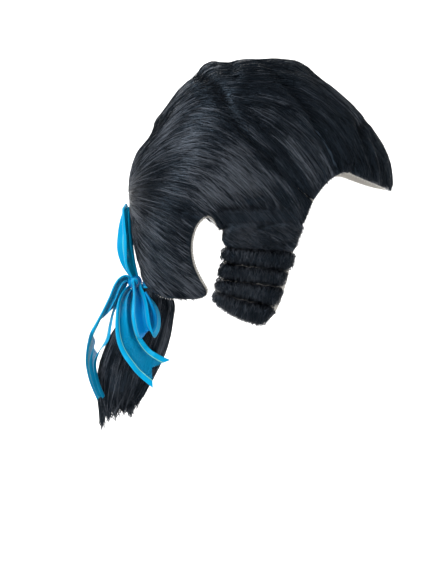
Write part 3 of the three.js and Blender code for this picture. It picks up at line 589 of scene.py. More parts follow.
def flow_strands(region, net, count, length, width, lift, rng):
    """Strands that start at random on a panel and follow the lie of the pile over the cap.

    Each strand has five stations. A step moves turn and place by the least-squares answer to
    slopes @ step = direction * distance, and a strand that would pass the panel's edge is shortened.
    """
    turn, place, triangles = net
    points = cap_point(turn, place)
    chosen, weight = scatter(points, triangles, count, rng)
    corner = triangles[chosen]
    first = turn[corner[:, :1]]
    swing = (turn[corner] - first + math.pi) % (2 * math.pi) - math.pi
    seed_turn = first[:, 0] + (swing * weight).sum(1)
    seed_place = np.maximum((place[corner] * weight).sum(1), STRAND_FIRST)
    full = length * rng.uniform(0.55, 1.35, count)
    wander = rng.normal(0, 0.055, count)
    share = np.full(count, 1.0)
    for _ in range(4):
        at_turn = np.empty((count, STATIONS))
        at_place = np.empty((count, STATIONS))
        middle = STATIONS // 2
        at_turn[:, middle], at_place[:, middle] = seed_turn, seed_place
        for way in (-1, 1):
            t, q = seed_turn.copy(), seed_place.copy()
            for k in range(1, middle + 1):
                p, n = cap_point(t, q), cap_normal(t, q)
                d = pile_direction(p, n)
                d = unit(d + np.cross(n, d) * wander[:, None])
                a, b = cap_slopes(t, q)
                goal = d * (way * full * share / (STATIONS - 1))[:, None]
                aa, ab, bb = (a * a).sum(1), (a * b).sum(1), (b * b).sum(1)
                ga, gb = (a * goal).sum(1), (b * goal).sum(1)
                det = np.maximum(aa * bb - ab * ab, 1e-10)
                t = t + np.clip((ga * bb - gb * ab) / det, -0.6, 0.6)
                q = np.clip(q + (gb * aa - ga * ab) / det, STRAND_FIRST, LAST - 0.05)
                at_turn[:, middle + way * k], at_place[:, middle + way * k] = t, q
        outside = region(cap_point(at_turn, at_place), SEAM_SPILL).min(1) < -OVERHANG
        share = np.where(outside, share * 0.55, share)
    keep = ~outside
    at_turn, at_place = at_turn[keep], at_place[keep]
    count = keep.sum()
    p, n = cap_point(at_turn, at_place), cap_normal(at_turn, at_place)
    sink = fold_sink(p) + rounded_edge(p) + PILE_SINK
    clump = ripple(p[:, 2], CLUMP_SIZE, 3)
    rise = lift * rng.uniform(0.1, 1.0, count)[:, None] * np.linspace(0, 1, STATIONS) ** 1.5
    rise = rise + CLUMP_RISE * clump[:, None]
    path = p + n * (0.0002 + rise - sink)[..., None]
    ahead = unit(np.gradient(path, axis=1))
    across = unit(np.cross(ahead, n))
    lean = rng.normal(0, 0.55, count)[:, None, None]
    side = unit(across * np.cos(lean) + n * np.sin(lean))
    # Painted light: strands are painted paler where the side-view table puts sheen, darker where it puts
    # shade, and darker in the folds as painted shade.
    painted_light = painted_sheen_and_shade_at(p[:, 2]) - FOLD_PAINTED_SHADE * np.clip(fold_sink(p[:, 2]) / FOLD_FULL, 0, 1)
    cloud = 0.30 * ripple(p[:, 2], 0.05, 7)
    # Raised clumps are painted paler as a painted highlight and the strands between them darker as painted
    # shade; the cloud and the random part are the strands' own tone.
    shade = np.clip(rng.normal(0.5, 0.20, count) + cloud + 0.50 * clump + painted_light, 0, 1)
    return strand_mesh(path, side, unit(np.cross(side, ahead)), width * rng.uniform(0.6, 1.3, count),
                       np.full(count, STRAND_THICK), shade)


def panel_piece(name, region, count, settings, material, seed):
    """One hair panel: a rounded wall that follows the cap and its folds, under a coat of strands."""
    rng = np.random.default_rng(seed)
    turn, place, net = cap_net(200, 96)
    turn, place, triangles = trim(turn, place, net, region(cap_point(turn, place)))
    p, n = cap_point(turn, place), cap_normal(turn, place)
    sink = fold_sink(p) + rounded_edge(p) + PILE_SINK + WALL_RIPPLE * ripple(p, 0.02, seed)
    outer = p - n * np.minimum(sink + WALL_BELOW, HAIR_WALL - WALL_LEAST)[:, None]
    wall = shell(outer, p - n * HAIR_WALL, triangles)
    hairs = flow_strands(region, (turn, place, triangles), count, settings.strand_length,
                         settings.strand_width, settings.pile_lift, rng)
    points, triangles, shade = join([(*wall, 0.25), hairs])
    return new_piece(name + "_hair", points, triangles, material, [name], shade=shade)


# Each region is a signed distance, positive inside the panel; spill lets strands pass the seams by so much.
def back_region(p, spill=0.0):
    seams = past_seam(p, SEAM_A, -1) - GAP / 2 + spill
    return np.minimum(np.minimum(above_rim(p, HAIR_RIM), seams), clear_of_arch(p))


def crown_region(p, spill=0.0):
    seams = np.minimum(-past_seam(p, SEAM_A, -1), -past_seam(p, SEAM_B, 1)) - GAP / 2 + spill
    return np.minimum(above_rim(p), seams)


def front_region(p, spill=0.0):
    seams = np.minimum(-past_seam(p, SEAM_A, -1), past_seam(p, SEAM_B, 1)) - GAP / 2 + spill
    return np.minimum(above_rim(p), seams)


def backing_region(p):
    edges = np.maximum(above_rim(p) + RIM_SHOW, on_tab(p) - TAB_INSET)
    return np.minimum(edges, clear_of_arch(p) - ARCH_INSET)


PUFF_PATHS = [smooth_line(line, 20) for line in PUFF_CREASES]


def flank(x, z, inset=0.0):
    """How far the cap's side stands out from the middle plane, on the superellipse of its level."""
    place = level_of(z)
    reach = reach_of(x, place) - inset
    half = column(SECTIONS, HALF, place) * HALF_WIDTH - inset
    return half * (1 - np.clip(np.abs(x) / reach, 0, 1) ** PLAN_POWER) ** (1 / PLAN_POWER)


def curl_frame(row, side, share, round_it):
    """A rolled curl as a tube: share runs from the ear side to the face side, round_it goes round.

    Its height is the space between two curl lines, its ends close in a quarter circle, and its
    middle stands off the cap's flank. Returns the point and its outward direction.
    """
    bare = CURL_END_BARE if row >= 2 else 0.0
    (rear, front, _) = CURL_LINES[row + 1]
    run = (front[0] - rear[0]) * CAP_LENGTH
    f = share * (1 - bare / run)
    ahead, levels = [], []
    for rear, front, sag in CURL_LINES[row:row + 2]:
        ahead.append((rear[0] + f * (front[0] - rear[0])) * CAP_LENGTH)
        levels.append(CROWN_TOP - (rear[1] + f * (front[1] - rear[1]) + 4 * f * (1 - f) * sag) * CAP_DROP)
    top_z, low_z = levels
    z = (top_z + low_z) / 2
    x = sum(ahead) / 2
    from_end = np.minimum(share, 1 - share) * run
    round_end = np.sqrt(1 - (1 - np.clip((from_end + CURL_END_LEAST) / CURL_END_ROUND, 0, 1)) ** 2)
    tall = ((top_z - low_z) / 2 + CURL_FILL) * round_end
    deep = CURL_DEPTH * round_end
    y = flank(x, z, HAIR_WALL) + CURL_STAND * round_end
    c, s = np.cos(round_it), np.sin(round_it)
    if row == 0:
        y = y - CURL_BLEND * np.clip(s, 0, 1) ** 2
    lean = (ahead[0] - ahead[1]) * CURL_LEAN[min(row, 1)]
    point = np.stack([x + lean * s, side * (y + deep * c), z + tall * s], -1)
    out = unit(np.stack([0 * c + 1e-9, side * c / np.maximum(deep, 1e-5), s / np.maximum(tall, 1e-5)], -1))
    if row == 0:
        near = np.minimum(*(line_distance(point[..., 0], point[..., 2], path) for path in PUFF_PATHS))
        point = point - out * (CREASE_DEPTH * np.exp(-(near / CREASE_WIDTH) ** 2) - PUFF_RISE)[..., None]
    return point, out


def bridge_strands(side, settings, rng):
    """Strands that run from the panel's pile over the crease and on to the top curl, so that they blend."""
    count = BRIDGE_STRANDS
    share = rng.uniform(0.02, 0.95, count)[:, None] + np.array([0.0, 0.05, 0.09])
    turn = np.broadcast_to(np.array([1.5, 0.9, 0.35]), share.shape) + rng.uniform(-0.2, 0.1, count)[:, None]
    on_curl, away = curl_frame(0, side, np.clip(share, 0, 1), turn)
    above = rng.uniform(0.45, 1.0, count)[:, None] * BRIDGE_REACH * np.array([1.0, 0.5, 0.0])
    x = on_curl[:, :1, 0] - 0.84 * above
    z = on_curl[:, :1, 2] + above
    lift = rng.uniform(0.0, 0.0010, count)[:, None] + np.array([-0.0004, 0.0004, 0.0004])
    panel = np.stack([x, side * (flank(x, z) + lift), z], -1)
    path = np.concatenate([panel, on_curl[:, 1:] + away[:, 1:] * 0.0005], 1)
    outward_way = np.zeros_like(path)
    outward_way[..., 1] = side
    outward_way[:, 3:] = away[:, 1:]
    across = unit(np.cross(unit(np.gradient(path, axis=1)), outward_way))
    shade = np.clip(rng.normal(0.45, 0.2, count), 0, 1)
    return strand_mesh(path, across, outward_way, settings.strand_width * rng.uniform(0.6, 1.2, count),
                       np.full(count, CURL_THICK), shade)


def curl_piece(row, side, settings, material):
    """One side curl: a closed roll with short pile combed over it from the upper crease to the lower."""
    rng = np.random.default_rng(100 + 10 * row + (side > 0))
    around, along = 28, 40
    share, turn = np.meshgrid((1 - np.cos(np.linspace(0, math.pi, along))) / 2,
                              np.arange(around) / around * 2 * math.pi, indexing="ij")
    points, out = curl_frame(row, side, share, turn)
    points = points - out * CURL_CORE
    points, net = closed_tube(points)
    count = settings.curl_strands
    start = rng.uniform(-1.5, 2.0 if row == 0 else 1.5, count)
    sweep = rng.uniform(0.5, 1.1, count)
    share = rng.uniform(0.0, 1.0, count)
    slant = rng.normal(0.22 if row == 0 else 0.0, 0.035, count)
    step = np.linspace(0, 1, 5)
    at_share = np.clip(share[:, None] + slant[:, None] * (step - 0.5), 0, 1)
    at_turn = start[:, None] - sweep[:, None] * (step - 0.5)
    path, away = curl_frame(row, side, at_share, at_turn)
    rise = settings.pile_lift * 1.3 * rng.uniform(0.1, 1.3, count)[:, None] * step ** 1.4
    spill = np.zeros_like(path)
    over_end = np.where(share < 0.06, -1, np.where(share > 0.94, 1, 0))
    spill[..., 0] = over_end[:, None] * rng.uniform(0, 0.0022, count)[:, None] * step
    path = path + away * rise[..., None] + spill
    ahead = unit(np.gradient(path, axis=1))
    across = unit(np.cross(ahead, away))
    # The upper side of each roll is painted paler, a painted highlight where the light falls on it.
    shade = np.clip(rng.normal(0.5, 0.22, count) + 0.1 * np.sin(start), 0, 1)
    hairs = strand_mesh(path, across, away, settings.strand_width * 0.75 * rng.uniform(0.6, 1.3, count),
                        np.full(count, CURL_THICK), shade)
    parts = [(points, net, 0.2), hairs]
    if row == 0:
        parts.append(bridge_strands(side, settings, rng))
    points, triangles, shade = join(parts)
    name = f"side_curl_{'left' if side > 0 else 'right'}_{row + 1}"
    return new_piece(name + "_hair", points, triangles, material, [name], shade=shade)


def queue_point(along, turn, grow=0.0):
    """The queue's surface: level ellipses whose centre and size follow QUEUE."""
    place = place_of(QUEUE, 0, along)
    x = -column(QUEUE, 1, place) * CAP_LENGTH
    deep = column(QUEUE, 2, place) * QUEUE_DEPTH / 2 + grow
    wide = column(QUEUE, 3, place) * QUEUE_WIDTH / 2 + grow
    z = CROWN_TOP - QUEUE_ROOT_DROP - along * QUEUE_LENGTH
    return np.stack([x + deep * np.cos(turn), wide * np.sin(turn), z], -1)


# Tips of the queue's locks: ahead, left and drop below the root, in metres.
LOCK_TIPS = np.array([
    (-0.1395, 0.004, 0.1485), (-0.1330, -0.006, 0.1440), (-0.1275, 0.008, 0.1430), (-0.1200, -0.008, 0.1370),
    (-0.1135, 0.004, 0.1400), (-0.1080, -0.006, 0.1300), (-0.1000, 0.006, 0.1170), (-0.0930, -0.004, 0.1010),
])


def queue_piece(settings, material):
    """The queue: a closed core under long strands that leave it low down and gather into pointed locks."""
    rng = np.random.default_rng(61)
    around, down = 40, 60
    first = QUEUE[0, 0]
    along, turn = np.meshgrid(np.linspace(first, QUEUE_CORE_END, down),
                              np.arange(around) / around * 2 * math.pi, indexing="ij")
    core = queue_point(along, turn, -0.0012)
    points, net = closed_tube(core)
    count = settings.queue_strands
    begin = np.sort(np.where(rng.random(count) < 0.3, rng.uniform(first + 0.02, 0.15, count),
                             rng.uniform(0.1, 0.72, count)))
    angle = rng.uniform(0, 2 * math.pi, count)
    step = np.linspace(0, 1, 7)
    reach = np.where(begin > 0.35, 1.0 - begin, rng.uniform(0.30, 0.5, count))
    along = begin[:, None] + reach[:, None] * step
    twist = angle[:, None] + rng.normal(0, 0.10, count)[:, None] * step
    grow = rng.uniform(-0.0012, 0.0004, count)[:, None]
    surface = queue_point(np.clip(along, first, QUEUE_END), twist, grow)
    which = np.argmin(np.abs(surface[:, 3, None, 0] - LOCK_TIPS[:, 0] + rng.normal(0, 0.006, (count, 1))), 1)
    tip = LOCK_TIPS[which].copy()
    tip[:, 2] = CROWN_TOP - QUEUE_ROOT_DROP - tip[:, 2]
    tip = tip + rng.normal(0, 1, (count, 3)) * (0.0012, 0.0022, 0.0038)
    blend = np.clip((along - LOCK_START) / (1 - LOCK_START), 0, 1)
    blend = (blend * blend * (3 - 2 * blend))[..., None]
    path = surface * (1 - blend) + tip[:, None] * blend
    centre = np.stack([-column(QUEUE, 1, place_of(QUEUE, 0, np.clip(along, first, QUEUE_END))) * CAP_LENGTH,
                       0 * along, path[..., 2]], -1)
    away = unit(path - centre)
    ahead = unit(np.gradient(path, axis=1))
    across = unit(np.cross(ahead, away))
    shade = np.clip(rng.normal(0.5, 0.22, count) + 0.2 * np.sin(9 * angle), 0, 1)
    hairs = strand_mesh(path, across, unit(np.cross(across, ahead)),
                        settings.strand_width * rng.uniform(0.6, 1.2, count), np.full(count, 0.0003), shade)
    points, triangles, shade = join([(points, net, 0.2), hairs])
    return new_piece("queue_hair", points, triangles, material, ["queue"], shade=shade)


def backing_piece(material):
    """The knitted foundation: a thin closed wall just inside the hair, with both tabs and a rolled edge."""
    turn, place, net = cap_net(220, 110)
    turn, place, triangles = trim(turn, place, net, backing_region(cap_point(turn, place)))
    p, n = cap_point(turn, place), cap_normal(turn, place)
    edge = np.clip(backing_region(p) / 0.0016, 0, 1)
    lip = 0.0005 * (1 - np.sqrt(1 - (1 - edge) ** 2))
    outer = p - n * (HAIR_WALL + GAP + lip)[:, None]
    inner = p - n * (HAIR_WALL + GAP + BACKING_WALL - lip)[:, None]
    points, triangles = shell(outer, inner, triangles)
    return new_piece("cap_knit", points, outward(points, triangles), material, ["cap_backing"])


# Sewing threads that show in the creases under a curl: the curl's row, and where along it the thread runs.
CREASE_THREADS = [(1, (0.18, 0.55)), (2, (0.02, 0.45)), (2, (0.50, 0.97)), (3, (0.30, 0.62))]


def rim_stitches(settings, material):
    """Pale thread: short bars laid across the free rim, and lines in the creases between the curls."""
    line = smooth_line(RIM_LINE, 1200)
    gone = np.concatenate([[0], np.cumsum(np.hypot(*np.diff(line, axis=0).T))])
    at = np.arange(0, gone[-1], settings.stitch_pitch)
    x, z = np.interp(at, gone, line[:, 0]), np.interp(at, gone, line[:, 1])
    ahead_x, ahead_z = np.gradient(x), np.gradient(z)
    size = np.hypot(ahead_x, ahead_z)
    down = np.stack([ahead_z / size, 0 * size, -ahead_x / size], 1)
    place = level_of(z)
    share = np.abs(x) / reach_of(x, place)
    on_cap = (share < 0.97) & ((x < -0.146 * CAP_LENGTH) | (x > 0.155 * CAP_LENGTH))
    parts = []
    rng = np.random.default_rng(5)
    for side in (-1, 1):
        for row, ends in CREASE_THREADS:
            run = np.linspace(*ends, 60)
            path, away = curl_frame(row, side, run, np.full(60, -1.25))
            path = path + away * (0.0010 + 0.0005 * np.sin(40 * run + side))[:, None]
            ahead = unit(np.gradient(path, axis=0))
            parts.append(strand_mesh(path[None], unit(np.cross(ahead, away))[None], away[None],
                                     np.full(1, 0.00022), np.full(1, 0.00018), np.full(1, 0.5)))
        c = (share[on_cap] ** (PLAN_POWER / 2)) * np.sign(x[on_cap])
        turn = side * np.arccos(np.clip(c, -1, 1))
        p, n = cap_point(turn, place[on_cap]), cap_normal(turn, place[on_cap])
        lie = down[on_cap]
        lie = unit(lie - n * (lie * n).sum(1, keepdims=True))
        step = np.linspace(-1, 1, 5)
        reach_out = 0.0012 * rng.uniform(0.7, 1.2, len(p))
        path = (p[:, None] + lie[:, None] * (0.0008 + step[None, :, None] * reach_out[:, None, None])
                - n[:, None] * (HAIR_WALL + 0.0004 - 0.0005 * (1 - step ** 2))[None, :, None])
        ahead = unit(np.gradient(path, axis=1))
        across = unit(np.cross(ahead, np.broadcast_to(n[:, None], path.shape)))
        parts.append(strand_mesh(path, across, np.broadcast_to(n[:, None], path.shape),
                                 np.full(len(p), 0.00045), np.full(len(p), 0.0004), np.full(len(p), 0.5)))
    points, triangles, shade = join(parts)
    return new_piece("rim_stitches", points, triangles, material, [], shade=shade)


# The ribbon's runs from the knot: ahead, left and up in shares of the run's reach, the degrees its width
# is turned from left towards ahead, how far its edge dips, and the share of the width.
UPPER_LOOP = (0.065, [
    (0.000, 0.000, 0.050, -20, 0.0, 0.32), (-0.105, -0.030, 0.240, -25, 0.0, 0.52),
    (-0.140, -0.030, 0.420, -28, 0.0, 0.74), (-0.145, -0.020, 0.620, -24, 0.0, 0.80),
    (-0.134, -0.010, 0.840, -15, 0.0, 0.72), (-0.112, 0.000, 0.985, 0, 0.0, 0.66),
    (-0.104, 0.010, 0.900, 6, 0.0, 0.70), (-0.090, 0.020, 0.700, 8, 0.0, 0.78),
    (-0.072, 0.030, 0.480, 8, 0.0, 0.70), (-0.042, 0.030, 0.280, 8, 0.0, 0.46),
    (0.000, 0.020, 0.050, 0, 0.0, 0.32)])
LOWER_LOOP = (0.046, [
    (0.030, -0.110, -0.030, 70, 0.0, 0.28), (0.050, -0.300, -0.130, 80, 0.0, 0.32),
    (0.090, -0.480, -0.270, 90, 0.0, 0.42), (0.110, -0.620, -0.450, 90, 0.0, 0.54),
    (0.120, -0.700, -0.620, 90, 0.0, 0.60), (0.150, -0.735, -0.790, 90, 0.0, 0.60),
    (0.190, -0.720, -0.910, 90, 0.0, 0.60), (0.230, -0.665, -0.955, 90, 0.0, 0.58),
    (0.280, -0.605, -0.920, 90, 0.0, 0.58), (0.335, -0.575, -0.790, 90, 0.0, 0.58),
    (0.345, -0.560, -0.610, 90, 0.0, 0.52), (0.290, -0.530, -0.420, 88, 0.0, 0.42),
    (0.180, -0.430, -0.220, 80, 0.0, 0.30)])
SIDE_TAIL = (0.084, [
    (-0.020, -0.010, -0.060, 60, 0.0, 0.30), (-0.066, -0.100, -0.125, 75, 0.0, 0.42),
    (-0.092, -0.200, -0.220, 85, 0.0, 0.55), (-0.092, -0.265, -0.345, 90, 0.0, 0.66),
    (-0.080, -0.290, -0.470, 90, 0.0, 0.76), (-0.050, -0.305, -0.590, 90, 0.0, 0.84),
    (0.010, -0.330, -0.700, 90, 0.0, 0.90), (0.095, -0.370, -0.800, 90, 0.0, 0.96),
    (0.190, -0.380, -0.875, 90, 0.0, 1.04), (0.285, -0.385, -0.935, 90, 0.0, 1.14)])
REAR_TAIL = (0.108, [
    (-0.020, 0.000, 0.000, 50, 0.8, 0.30), (-0.056, 0.000, 0.022, 60, 0.8, 0.38),
    (-0.098, -0.010, 0.006, 70, 0.8, 0.40), (-0.130, -0.020, -0.045, 75, 0.6, 0.42),
    (-0.160, -0.030, -0.125, 80, 0.4, 0.42), (-0.205, -0.045, -0.220, 85, 0.2, 0.40),
    (-0.245, -0.060, -0.331, 88, 0.1, 0.54), (-0.280, -0.080, -0.433, 95, 0.0, 0.70),
    (-0.325, -0.085, -0.535, 128, 0.0, 0.60), (-0.345, -0.100, -0.655, 150, 0.0, 0.52),
    (-0.318, -0.130, -0.794, 155, 0.0, 0.52), (-0.262, -0.140, -0.933, 157, 0.0, 0.52)])

KNOT_LOW, KNOT_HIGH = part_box("ribbon_knot")
KNOT_CENTRE = np.array([(KNOT_LOW[0] + KNOT_HIGH[0]) / 2 - 0.0005, 0.0, (KNOT_LOW[2] + KNOT_HIGH[2]) / 2])
# A pleat is at most this deep, so that a run stays thin.
PLEAT_LIMIT = 0.0036


def ribbon_piece(name, run, pleats, cut, curl, settings, material):
    """A ribbon run: its centreline is Catmull-Rom through the run's rows from the knot, and its section
    is a wave whose depth keeps the full width of ribbon where the run is narrow, so it gathers in pleats.

    cut is the depth of the swallowtail at the free end, and curl bows the section.
    """
    reach, rows = run
    rows = np.array(rows)
    stations, across = 110, 36
    place = np.linspace(0, len(rows) - 1, 400)
    centre = np.stack([column(rows, k, place) for k in range(3)], 1) * reach + KNOT_CENTRE
    gone = np.concatenate([[0], np.cumsum(np.linalg.norm(np.diff(centre, axis=0), axis=1))])
    length = gone[-1]
    even = np.interp(np.linspace(0, length, stations), gone, place)
    centre = np.stack([column(rows, k, even) for k in range(3)], 1) * reach + KNOT_CENTRE
    turn, wide = np.radians(column(rows, 3, even)), np.clip(column(rows, 5, even), 0.2, 1.2)
    ahead = unit(np.gradient(centre, axis=0))
    side = np.stack([np.sin(turn), np.cos(turn), -column(rows, 4, even)], 1)
    side = unit(side - ahead * (side * ahead).sum(1, keepdims=True))
    face = np.cross(ahead, side)
    u = np.linspace(-0.5, 0.5, across)
    half = settings.ribbon_width * wide
    extra = np.sqrt(np.maximum(1 / wide ** 2 - 1, 0))
    deep = half * extra * math.sqrt(2) / (2 * math.pi * pleats)
    wave = np.sin(2 * math.pi * pleats * (u[None] + 0.5) + 0.6) * np.minimum(deep, PLEAT_LIMIT)[:, None]
    bow = curl * half[:, None] * (0.25 - u[None] ** 2)
    sway = 0.0006 * np.sin(60 * length * np.linspace(0, 1, stations))[:, None] * u[None] * wide[:, None]
    middle = centre[:, None] + side[:, None] * (u[None] * half[:, None])[..., None]
    middle = middle + face[:, None] * (wave + bow + sway)[..., None]
    if cut > 0:
        tail = np.linspace(0, 1, stations)[:, None] * length
        notch = cut * (1 - np.abs(2 * u[None]))
        squeeze = np.clip((tail - (length - 2.5 * cut)) / (2.5 * cut), 0, 1)
        middle = middle - ahead[:, None] * (notch * squeeze)[..., None]
    normal = unit(np.cross(np.gradient(middle, axis=0), np.gradient(middle, axis=1)))
    thick = settings.ribbon_thickness / 2
    outer, inner = (middle + normal * thick).reshape(-1, 3), (middle - normal * thick).reshape(-1, 3)
    net = grid_net(stations, across, wrap=False)
    points, triangles = shell(outer, inner, net)
    v = np.linspace(0, 1, stations)[:, None] * length / settings.ribbon_width + 0 * u[None]
    uv = np.stack([np.broadcast_to(u[None] + 0.5, v.shape), v], -1).reshape(-1, 2)
    piece = new_piece(name + "_organza", points, outward(points, triangles), material, [name],
                      uv=np.concatenate([uv, uv]))
    return piece


def band_piece(material):
    """The ribbon round the queue's tie: a ring that follows the queue's section, drawn into level pleats."""
    around, across = 96, 22
    turn = np.arange(around) / around * 2 * math.pi
    v = np.linspace(-0.5, 0.5, across)
    tall = 0.010
    along = QUEUE_TIE - v[:, None] * tall / QUEUE_LENGTH + 0 * turn[None]
    pleat = 0.00045 * np.sin(2 * math.pi * 4.5 * (v[:, None] + 0.5))
    pleat = pleat + 0.0002 * np.sin(5 * turn[None] + 6 * v[:, None])
    outer = queue_point(along, turn[None] + 0 * along, 0.0022 + pleat)
    inner = queue_point(along, turn[None] + 0 * along, 0.0014 + pleat)
    net = grid_net(across, around)
    points, triangles = shell(outer.reshape(-1, 3), inner.reshape(-1, 3), net)
    uv = np.stack([v[:, None] + 0.5 + 0 * along, turn[None] + 0 * along], -1).reshape(-1, 2)
    piece = new_piece("ribbon_band_organza", points, outward(points, triangles), material,
                      ["ribbon_band"], uv=np.concatenate([uv, uv]))
    return piece


def knot_piece(material):
    """The knot: an ellipsoid wrapped by one slanting turn of ribbon, whose folds run over it as ridges."""
    across, around = 60, 90
    polar, turn = np.meshgrid(np.linspace(0.001, math.pi - 0.001, across),
                              np.arange(around) / around * 2 * math.pi, indexing="ij")
    half = (np.array(KNOT_HIGH) - np.array(KNOT_LOW)) / 2
    ball = np.stack([np.sin(polar) * np.cos(turn), np.cos(polar), np.sin(polar) * np.sin(turn)], -1)
    ridges = 0.05 * np.sin(7 * polar + 1.2 * np.sin(turn) + 0.8) + 0.03 * np.sin(15 * polar + turn)
    waist = 1 - 0.10 * np.exp(-((polar - 1.0) / 0.25) ** 2)
    points = KNOT_CENTRE + ball * half * ((1 + ridges) * waist)[..., None] * 0.98
    points, net = closed_tube(points)
    uv = np.stack([(polar / math.pi * 2.2) % 1.0, turn], -1).reshape(-1, 2)
    uv = np.concatenate([uv, [[0, 0], [0, 0]]])
    return new_piece("ribbon_knot_organza", points, outward(points, net), material, ["ribbon_knot"],
                     uv=uv)


def fresh_material(name):
    """A new node material with its Principled shader and a function that adds linked nodes to it."""
    material = bpy.data.materials.new(name)
    material.use_nodes = True
    tree = material.node_tree
    shader = tree.nodes["Principled BSDF"]

    def add(kind, inputs=None, **settings):
        node = tree.nodes.new(kind)
        for key, value in settings.items():
            setattr(node, key, value)
        for key, value in (inputs or {}).items():
            if isinstance(value, bpy.types.NodeSocket):
                tree.links.new(value, node.inputs[key])
            else:
                node.inputs[key].default_value = value
        return node

    return material, tree, shader, add


def ramp(node, stops):
    """Sets a colour ramp's stops, each a position and a colour."""
    elements = node.color_ramp.elements
    while len(elements) < len(stops):
        elements.new(0.5)
    for element, (position, colour) in zip(elements, stops):
        element.position = position
        element.color = (*colour, 1.0)


def hair_material(settings):
    """Combed black pile: each strand's own shade on a ramp, holding random tone with painted sheen and
    painted shade, cloudy wear, a soft cool sheen and fine grain.
    """
    material, tree, shader, add = fresh_material("combed_black_hair")
    own = add("ShaderNodeAttribute", attribute_name="shade")
    place = add("ShaderNodeTexCoord").outputs["Object"]
    cloud = add("ShaderNodeTexNoise", {"Vector": place, "Scale": 34.0, "Detail": 3.0, "Roughness": 0.55})
    grain = add("ShaderNodeTexNoise", {"Vector": place, "Scale": 900.0, "Detail": 2.0})
    mixed = add("ShaderNodeMath", {0: own.outputs["Fac"], 1: cloud.outputs["Fac"]}, operation="ADD")
    level = add("ShaderNodeMath", {0: mixed.outputs[0], 1: 0.5}, operation="MULTIPLY")
    tint = add("ShaderNodeValToRGB", {"Fac": level.outputs[0]})
    dark, mid, light = settings.hair_dark, settings.hair_mid, settings.hair_light
    ramp(tint, [(0.36, dark), (0.51, mid), (0.72, light)])
    tree.links.new(tint.outputs["Color"], shader.inputs["Base Color"])
    bump = add("ShaderNodeBump", {"Height": grain.outputs["Fac"], "Strength": 0.25, "Distance": 0.0004})
    tree.links.new(bump.outputs["Normal"], shader.inputs["Normal"])
    shader.inputs["Roughness"].default_value = 0.34
    shader.inputs["Specular IOR Level"].default_value = 0.25
    shader.inputs["Specular Tint"].default_value = (0.52, 0.74, 1.0, 1.0)
    shader.inputs["Sheen Weight"].default_value = 0.02
    shader.inputs["Sheen Roughness"].default_value = 0.35
    shader.inputs["Sheen Tint"].default_value = (0.75, 0.82, 0.95, 1.0)
    return material


def knit_material(settings):
    """Fine pale knit: rows and wales as two crossed waves, with a slight cloudiness and matt fibre."""
    material, tree, shader, add = fresh_material("pale_knit")
    place = add("ShaderNodeTexCoord").outputs["Object"]
    rows = add("ShaderNodeTexWave", {"Vector": place, "Scale": 190.0, "Distortion": 0.6, "Detail": 1.0},
               bands_direction="Z")
    wales = add("ShaderNodeTexWave", {"Vector": place, "Scale": 110.0, "Distortion": 1.5, "Detail": 1.0},
                bands_direction="DIAGONAL")
    weave = add("ShaderNodeMath", {0: rows.outputs["Fac"], 1: wales.outputs["Fac"]}, operation="MULTIPLY")
    cloud = add("ShaderNodeTexNoise", {"Vector": place, "Scale": 60.0, "Detail": 4.0})
    level = add("ShaderNodeMath", {0: weave.outputs[0], 1: cloud.outputs["Fac"]}, operation="ADD")
    tint = add("ShaderNodeValToRGB", {"Fac": level.outputs[0]})
    ramp(tint, [(0.3, [c * 0.86 for c in settings.knit_colour]), (1.0, settings.knit_colour)])
    tree.links.new(tint.outputs["Color"], shader.inputs["Base Color"])
    bump = add("ShaderNodeBump", {"Height": weave.outputs[0], "Strength": 0.35, "Distance": 0.0003})
    tree.links.new(bump.outputs["Normal"], shader.inputs["Normal"])
    shader.inputs["Roughness"].default_value = 0.9
    shader.inputs["Sheen Weight"].default_value = 0.2
    return material


